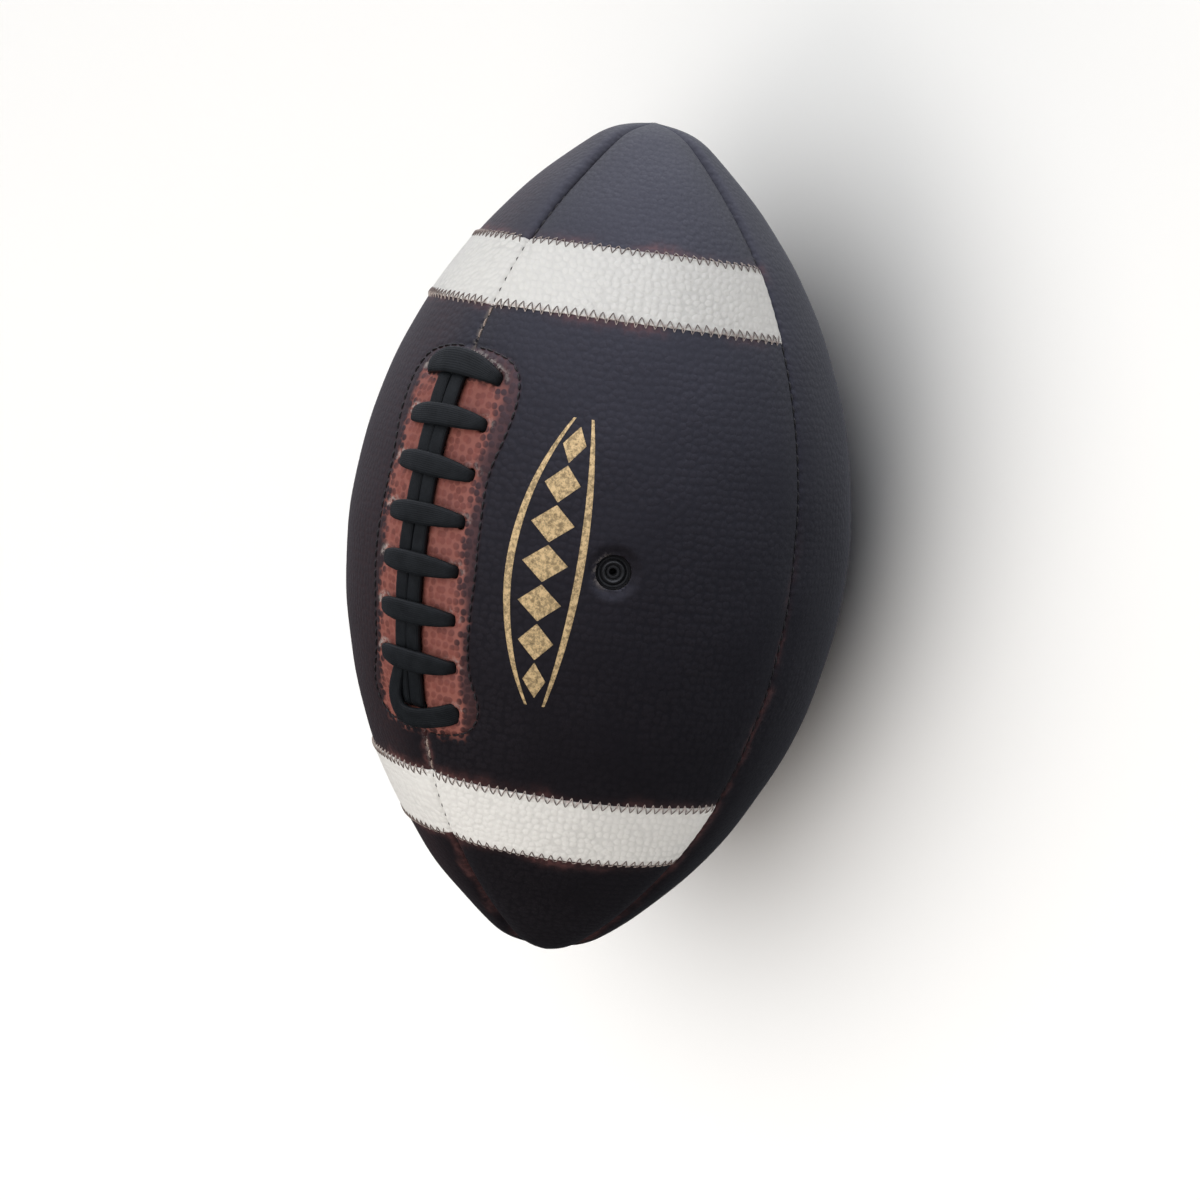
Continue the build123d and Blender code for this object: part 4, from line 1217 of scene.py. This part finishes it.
def leather_finish(sizes, colours):
    """Handled cover leather: dark worn grain, brown beside the sewing, fresh red beside the lace."""
    finish = Finish("cover_leather")
    top, number = pebbles(finish, sizes)
    cloud = finish.clouds(LEATHER_CLOUD_PITCH)
    grain = finish.noise(LEATHER_GRAIN_PITCH)
    dark = finish.shades(finish.spread(cloud), colours.leather_worn, start=0.85, end=1.15)
    dark_top = finish.mix(finish.stored("brown"), dark, scaled(colours.leather_brown, 0.8))
    dark_valley = scaled(colours.leather_worn, 0.75)
    dark_valley = finish.mix(finish.stored("brown"), dark_valley, scaled(colours.leather_brown, 1.35))

    fresh = finish.stored("fresh")
    uneven = finish.plus(fresh, finish.times(finish.math("SUBTRACT", number, 0.5), 0.35))
    red_top = finish.shades(number, colours.leather_fresh, start=0.85, end=1.2)
    tops = finish.mix(finish.ramp(uneven, low=0.3, high=0.95), dark_top, red_top)
    red_valley = finish.shades(cloud, colours.leather_valley, start=0.9, end=1.1)
    valleys = finish.mix(finish.ramp(fresh, low=0.05, high=0.6), dark_valley, red_valley)
    colour = finish.mix(finish.ramp(top, low=0.1, high=0.6), valleys, tops)
    # Pale scuffs, and the highlight painted by the valve hole, broken by flecks
    flecks = finish.noise(LEATHER_FLECK_PITCH, detail=5.0, roughness=0.65)
    flecks = finish.ramp(flecks, low=0.44, high=0.56)
    colour = finish.mix(finish.times(finish.stored("scuff_and_highlight"), flecks), colour, SCUFF_AND_HIGHLIGHT_COLOUR)

    matt = finish.plus(finish.spread(grain, start=0.44, end=0.56), finish.times(fresh, 0.14))
    relief = finish.ramp(cloud, low=0.35, high=0.65, start=0.25, end=0.5)
    relief = finish.plus(relief, finish.times(fresh, 0.5))
    height = finish.plus(finish.times(top, relief), finish.times(grain, 0.1))
    finish.raise_surface(height, sizes.pebble_height)
    sheen = {"specular_ior_level": 0.45, "specular_tint": LEATHER_SHEEN}
    return finish.done(base_color=colour, roughness=matt, **sheen)


def stripe_finish(sizes, colours):
    """White coating over pebble grain, a little darker in its valleys, and dirty along its edges."""
    finish = Finish("stripe_leather")
    top, number = pebbles(finish, sizes)
    cloud = finish.clouds(STRIPE_CLOUD_PITCH)
    grain = finish.noise(STRIPE_GRAIN_PITCH)
    clean = finish.shades(number, colours.stripe, start=0.985, end=1.015)
    valley = finish.shades(finish.ramp(cloud, low=0.4, high=0.7), colours.stripe, start=0.96, end=0.86)
    white = finish.mix(finish.ramp(top, low=0.0, high=0.6), valley, clean)
    flecks = finish.ramp(finish.clouds(STRIPE_FLECK_PITCH), low=0.46, high=0.62)
    dirt = finish.times(finish.stored("edge"), flecks)
    colour = finish.mix(dirt, white, scaled(colours.leather_brown, 4.0))
    height = finish.plus(finish.times(top, 0.93), finish.times(grain, 0.07))
    finish.raise_surface(height, sizes.pebble_height * 1.1)
    return finish.done(base_color=colour, roughness=finish.spread(grain, start=0.46, end=0.58))


def lace_finish(colours):
    """Matt black lace with fine lines along its length."""
    finish = Finish("lace_leather")
    lines = finish.math("SINE", finish.times(finish.stored("across"), LACE_LINE_RATE))
    lines = finish.ramp(lines, low=-1.0, high=1.0)
    cloud = finish.clouds(LACE_CLOUD_PITCH)
    grain = finish.noise(LACE_GRAIN_PITCH)
    colour = finish.shades(finish.spread(cloud), colours.lace, start=0.7, end=1.5)
    colour = finish.mix(finish.times(lines, 0.35), colour, scaled(colours.lace, 2.2))
    finish.raise_surface(finish.plus(finish.times(lines, 0.5), finish.times(grain, 0.5)), LACE_BUMP_DEPTH)
    matt = finish.spread(grain, start=0.5, end=0.66)
    return finish.done(base_color=colour, roughness=matt, specular_ior_level=0.2)


def thread_finish(name, colour, dark=None):
    """Waxed thread with uneven colour, dark where the mesh says so."""
    finish = Finish(name)
    twist = finish.noise(THREAD_TWIST_PITCH, detail=2.0)
    tone = finish.shades(finish.spread(finish.noise(THREAD_CLOUD_PITCH)), colour, start=0.7, end=1.25)
    # Zig-zag thread: dirt and painted shade over the stripe; seam thread: its own dark colour
    if dark:
        tone = finish.mix(finish.stored("dark"), tone, dark)
    finish.raise_surface(twist, THREAD_BUMP_DEPTH)
    return finish.done(base_color=tone, roughness=finish.spread(twist, start=0.55, end=0.75))


def plain_finish(name, colour, pitch, depth, roughness):
    """Cloudy, finely rough finish for rubber and hidden leather."""
    finish = Finish(name)
    grain = finish.clouds(pitch)
    tone = finish.shades(finish.spread(finish.clouds(pitch * 8)), colour, start=0.78, end=1.22)
    finish.raise_surface(grain, depth)
    matt = finish.spread(grain, start=roughness - 0.08, end=roughness + 0.08)
    return finish.done(base_color=tone, roughness=matt)


def cloth_finish(name, colour, pitch):
    """Woven lining: raised threads crossing on a weave."""
    finish = Finish(name)
    inputs = {"Vector": finish.place, "Scale": 1 / pitch / 3, "Distortion": 0.4}
    waves = [finish.node("ShaderNodeTexWave", inputs, bands_direction=direction) for direction in ("X", "Y")]
    height = finish.times(*(wave.outputs["Fac"] for wave in waves))
    finish.raise_surface(height, pitch / 3)
    return finish.done(base_color=finish.shades(height, colour, start=0.7, end=1.1), roughness=0.85)


def foil_finish(sizes, colours):
    """Gold foil stamped on pebbled leather, worn through in flecks."""
    finish = Finish("gold_foil")
    flecks = finish.noise(FOIL_FLECK_PITCH, detail=6.0, roughness=0.7)
    worn = finish.ramp(flecks, low=0.55, high=0.68)
    place = finish.warped(finish.place, *FOIL_PUSH)
    mottle = finish.noise(FOIL_MOTTLE_PITCH, detail=4.0, roughness=0.75, place=place)
    gold = finish.shades(finish.ramp(mottle, low=0.38, high=0.6), colours.foil, start=0.55, end=1.3)
    colour = finish.mix(finish.times(worn, 0.7), gold, scaled(colours.foil, 0.25))
    finish.raise_surface(pebbles(finish, sizes)[0], sizes.pebble_height * 0.6)
    metal = finish.ramp(worn, low=0.0, high=1.0, start=0.4, end=0.1)
    matt = finish.spread(flecks, start=0.42, end=0.62)
    return finish.done(base_color=colour, metallic=metal, roughness=matt)


def floor_finish(colours):
    """Pale matt studio floor."""
    finish = Finish("studio_floor")
    tone = finish.shades(finish.noise(FLOOR_CLOUD_PITCH), colours.floor, start=0.985, end=1.015)
    return finish.done(base_color=tone, roughness=0.9, specular_ior_level=0.1)


def ball_of(context):
    """The ball's shape in the scene's sizes."""
    return BallShape(context.scene.football_sizes)


class FOOTBALL_OT_cover(bpy.types.Operator):
    """Makes the four pebbled leather panels with their lace holes and valve hole"""

    bl_idname = "football.cover"
    bl_label = "Leather panels"

    def execute(self, context):
        ball = ball_of(context)
        sizes = ball.sizes
        finish = leather_finish(sizes, context.scene.football_colours)
        for node, quarter in PANEL_QUARTERS.items():
            piece = make_piece(f"dressed_{node}", *loft(panel_rings(ball, quarter)), finish)
            cutters = []
            if node.startswith("lace_"):
                cutters = lace_hole_cutters(ball, 1 if quarter == 0 else -1)
            if quarter == 0:
                hole = sizes.valve_hole_diameter / 2
                cutters.append(post(ball, 0.0, sizes.valve_angle, hole, hole, sides=64, power=1.0))
            if cutters:
                cut(piece, cutters)
            leather_wear(ball, piece)
            store_grain(ball, piece, quarter)
            dress(piece, "cover_leather", node)
        return {"FINISHED"}


class FOOTBALL_OT_stripes(bpy.types.Operator):
    """Makes the four white stripes wrapped over the lace panels"""

    bl_idname = "football.stripes"
    bl_label = "Stripes"

    def execute(self, context):
        ball = ball_of(context)
        finish = stripe_finish(ball.sizes, context.scene.football_colours)
        for place, quarter, end in STRIPE_PLACES:
            form = loft(stripe_rings(ball, quarter, end))
            piece = dressed(f"stripe_{place}", "stripe_leather", form, finish)
            outside = outside_stripes(ball, ball.unwrap(read_points(piece))[0])
            write_attribute(piece, "edge", STRIPE_DIRT * bell(np.minimum(outside, 0.0), STRIPE_DIRT_WIDTH))
            store_grain(ball, piece, quarter)
        return {"FINISHED"}


class FOOTBALL_OT_stripe_thread(bpy.types.Operator):
    """Sews the zig-zag rows along both edges of each stripe"""

    bl_idname = "football.stripe_thread"
    bl_label = "Stripe zig-zag"

    def execute(self, context):
        ball = ball_of(context)
        finish = thread_finish("stripe_thread", context.scene.football_colours.stripe_thread, THREAD_DIRT_AND_SHADE)
        radius = ZIGZAG_RADIUS
        for place, quarter, end in STRIPE_PLACES:
            form = stitches(ball, *zigzag_places(ball, quarter, end), zigzag_lift, radius, 2 * radius)
            piece = dressed(f"stripe_thread_{place}", "stripe_thread", form, finish)
            # Thread lying on the stripe darkens: dirt and painted shade
            depth = -outside_stripes(ball, ball.unwrap(form[0])[0])
            write_attribute(piece, "dark", smooth_step(*ZIGZAG_DIRT_AND_SHADE_DEPTHS, depth))
        return {"FINISHED"}


class FOOTBALL_OT_facing_thread(bpy.types.Operator):
    """Sews the stitch line round the lace"""

    bl_idname = "football.facing_thread"
    bl_label = "Stitch line round the lace"

    def execute(self, context):
        ball = ball_of(context)
        finish = thread_finish("facing_thread", context.scene.football_colours.facing_thread)
        radius = FACING_THREAD_RADIUS
        for hand, side in (("right", 1), ("left", -1)):
            form = stitches(ball, *facing_places(ball, side), radius / 2, radius, 2 * radius)
            dressed(f"facing_thread_{hand}", "facing_thread", form, finish)
        return {"FINISHED"}


class FOOTBALL_OT_seam_thread(bpy.types.Operator):
    """Sews the stitches that lie in the four seams"""

    bl_idname = "football.seam_thread"
    bl_label = "Seam stitches"

    def execute(self, context):
        ball = ball_of(context)
        colours = context.scene.football_colours
        radius = SEAM_THREAD_RADIUS
        on_stripe = seam_thread_lift(ball.sizes.lip_radius, ball.sizes.stripe_thickness, 0.0)
        finish = thread_finish("seam_thread", colours.seam_thread, colours.facing_thread)
        for seam, angle in (("lace", 0.0), ("right", QUARTER), ("back", pi), ("left", -QUARTER)):
            starts, ends, striped = seam_places(ball, angle)
            in_groove = seam_thread_lift(lip_radius(ball, starts[:, 0]), 0.0, radius)
            lift = np.where(striped, on_stripe, in_groove)[:, None]
            form = stitches(ball, starts, ends, lift, radius, radius)
            piece = dressed(f"seam_thread_{seam}", "seam_thread", form, finish)
            pale = (np.abs(starts[:, 0]) < stripe_edges(ball)[0]) & (angle == 0)
            write_attribute(piece, "dark", np.repeat(~pale, STITCH_RINGS * STITCH_SIDES))
        return {"FINISHED"}


class FOOTBALL_OT_lace(bpy.types.Operator):
    """Makes the lace: crosses, long strands, the loop at its rear end and the runs behind the leather"""

    bl_idname = "football.lace"
    bl_label = "Lace"

    def execute(self, context):
        ball = ball_of(context)
        finish = lace_finish(context.scene.football_colours)
        ribbons = [strand_ribbon(ball, side) for side in (-1, 1)]
        ribbons += [cross_ribbon(ball, index) for index in range(1, ball.sizes.cross_count)]
        ribbons.append(rear_loop_ribbon(ball))
        ribbons += under_passes(ball)
        form = join_forms([(points, faces) for points, faces, _ in ribbons])
        piece = dressed("lace", "lace_leather", form, finish, crease=LACE_CREASE)
        write_attribute(piece, "across", np.concatenate([across for _, _, across in ribbons]))
        return {"FINISHED"}


class FOOTBALL_OT_valve(bpy.types.Operator):
    """Turns the valve's rubber body and its core"""

    bl_idname = "football.valve"
    bl_label = "Valve"

    def execute(self, context):
        ball = ball_of(context)
        rubber = context.scene.football_colours.rubber
        finish = plain_finish("valve_rubber", rubber, VALVE_PITCH, VALVE_BUMP_DEPTH, 0.5)
        for node, profile in (("valve_body", VALVE_BODY_PROFILE), ("valve_core", VALVE_CORE_PROFILE)):
            dressed(node, "valve_rubber", lathe(ball, profile), finish)
        return {"FINISHED"}


class FOOTBALL_OT_ornament(bpy.types.Operator):
    """Stamps a plain gold-foil border on the right lace panel"""

    bl_idname = "football.ornament"
    bl_label = "Foil ornament"

    def execute(self, context):
        ball = ball_of(context)
        finish = foil_finish(ball.sizes, context.scene.football_colours)
        piece = make_piece("foil_ornament", *foil_ornament(ball), finish)
        store_grain(ball, piece, 0)
        dress(piece, "cover_leather")
        return {"FINISHED"}


class FOOTBALL_OT_inner_layers(bpy.types.Operator):
    """Gives the hidden linings, facings, tongue and bladder their finishes"""

    bl_idname = "football.inner_layers"
    bl_label = "Inner layers"

    def execute(self, context):
        rubber = context.scene.football_colours.rubber
        finishes = {
            "lining": cloth_finish("lining_cloth", LINING_COLOUR, LINING_PITCH),
            "facing": plain_finish("facing_leather", HIDE_COLOUR, HIDE_PITCH, HIDE_BUMP_DEPTH, 0.75),
            "tongue": plain_finish("tongue_leather", TONGUE_COLOUR, TONGUE_PITCH, HIDE_BUMP_DEPTH, 0.7),
            "bladder": plain_finish("bladder_rubber", rubber, BLADDER_PITCH, BLADDER_BUMP_DEPTH, 0.6),
        }
        for name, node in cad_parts.items():
            for word, finish in finishes.items():
                if word in name and "thread" not in name:
                    node.data.materials.clear()
                    node.data.materials.append(finish)
        return {"FINISHED"}


def aim(thing, place, target):
    """Puts a lamp at a place, facing a target."""
    thing.location = place
    thing.rotation_euler = (Vector(target) - Vector(place)).to_track_quat("-Z", "Y").to_euler()


def studio_air():
    """Soft glow from all round, brighter towards the ball's front."""
    world = bpy.data.worlds.new("studio_air")
    world.use_nodes = True
    tree = world.node_tree
    growth = tree.nodes.new("ShaderNodeVectorMath")
    growth.operation = "DOT_PRODUCT"
    growth.inputs[1].default_value = AIR_POWER_GROWTH
    power = tree.nodes.new("ShaderNodeMath")
    power.inputs[1].default_value = AIR_POWER_MIDDLE
    glow = tree.nodes.new("ShaderNodeMath")
    glow.operation = "EXPONENT"
    air = tree.nodes["Background"]
    air.inputs["Color"].default_value = (*AIR_COLOUR, 1.0)
    tree.links.new(tree.nodes.new("ShaderNodeTexCoord").outputs["Generated"], growth.inputs[0])
    tree.links.new(growth.outputs["Value"], power.inputs[0])
    tree.links.new(power.outputs[0], glow.inputs[0])
    tree.links.new(glow.outputs[0], air.inputs["Strength"])
    return world


class FOOTBALL_OT_stage(bpy.types.Operator):
    """Sets the floor, the soft studio light and the camera"""

    bl_idname = "football.stage"
    bl_label = "Stage"

    def execute(self, context):
        scene = context.scene
        work = bmesh.new()
        bmesh.ops.create_grid(work, x_segments=4, y_segments=4, size=FLOOR_HALF_SIZE)
        mesh = bpy.data.meshes.new("studio_floor")
        work.to_mesh(mesh)
        work.free()
        mesh.materials.append(floor_finish(scene.football_colours))
        floor = bpy.data.objects.new("studio_floor", mesh)
        floor.visible_glossy = False
        scene.collection.objects.link(floor)

        centre = (0.0, 0.0, CENTRE_HEIGHT)
        for name, kind, place, spread, power, colour in LAMPS:
            lamp = bpy.data.lights.new(name, kind)
            if kind == "SUN":
                lamp.angle = spread
            else:
                lamp.shape = "DISK"
                lamp.size = spread
            lamp.energy = power
            lamp.color = colour
            holder = bpy.data.objects.new(name, lamp)
            holder.visible_glossy = False
            scene.collection.objects.link(holder)
            aim(holder, place, centre)

        scene.world = studio_air()
        scene.world.cycles_visibility.diffuse = False
        scene.view_settings.view_transform = "Standard"

        camera = bpy.data.cameras.new("photo_camera")
        camera.sensor_width = CAMERA_SENSOR
        camera.lens = CAMERA_LENS
        camera.clip_start = CAMERA_NEAR
        holder = bpy.data.objects.new("photo_camera", camera)
        back = -Vector(CAMERA_FORWARD).normalized()
        right = Vector(CAMERA_RIGHT).normalized()
        turn = Matrix((right, back.cross(right), back)).transposed().to_4x4()
        holder.matrix_world = Matrix.Translation(Vector(CAMERA_PLACE) + Vector(centre)) @ turn
        scene.collection.objects.link(holder)
        scene.camera = holder
        return {"FINISHED"}


OPERATORS = (
    FOOTBALL_OT_cover,
    FOOTBALL_OT_stripes,
    FOOTBALL_OT_stripe_thread,
    FOOTBALL_OT_facing_thread,
    FOOTBALL_OT_seam_thread,
    FOOTBALL_OT_lace,
    FOOTBALL_OT_valve,
    FOOTBALL_OT_ornament,
    FOOTBALL_OT_inner_layers,
    FOOTBALL_OT_stage,
)


class FOOTBALL_PT_dresser(bpy.types.Panel):
    """Lists the football's pieces in the 3D view's sidebar"""

    bl_idname = "FOOTBALL_PT_dresser"
    bl_label = "American Football"
    bl_space_type = "VIEW_3D"
    bl_region_type = "UI"
    bl_category = "Football"

    def draw(self, context):
        for operator in OPERATORS:
            self.layout.operator(operator.bl_idname)


CLASSES = (FootballSizes, FootballColours, *OPERATORS, FOOTBALL_PT_dresser)


def register():
    """Registers the classes and the scene's settings."""
    for item in CLASSES:
        bpy.utils.register_class(item)
    bpy.types.Scene.football_sizes = PointerProperty(type=FootballSizes)
    bpy.types.Scene.football_colours = PointerProperty(type=FootballColours)


def unregister():
    """Takes the classes and settings away again."""
    del bpy.types.Scene.football_colours
    del bpy.types.Scene.football_sizes
    for item in reversed(CLASSES):
        bpy.utils.unregister_class(item)


def main():
    """Builds every piece and the stage."""
    register()
    for operator in OPERATORS:
        name = operator.bl_idname.split(".")[1]
        if getattr(bpy.ops.football, name)() != {"FINISHED"}:
            raise RuntimeError(f"{operator.bl_label} didn't finish")


if __name__ == "__main__":
    main()
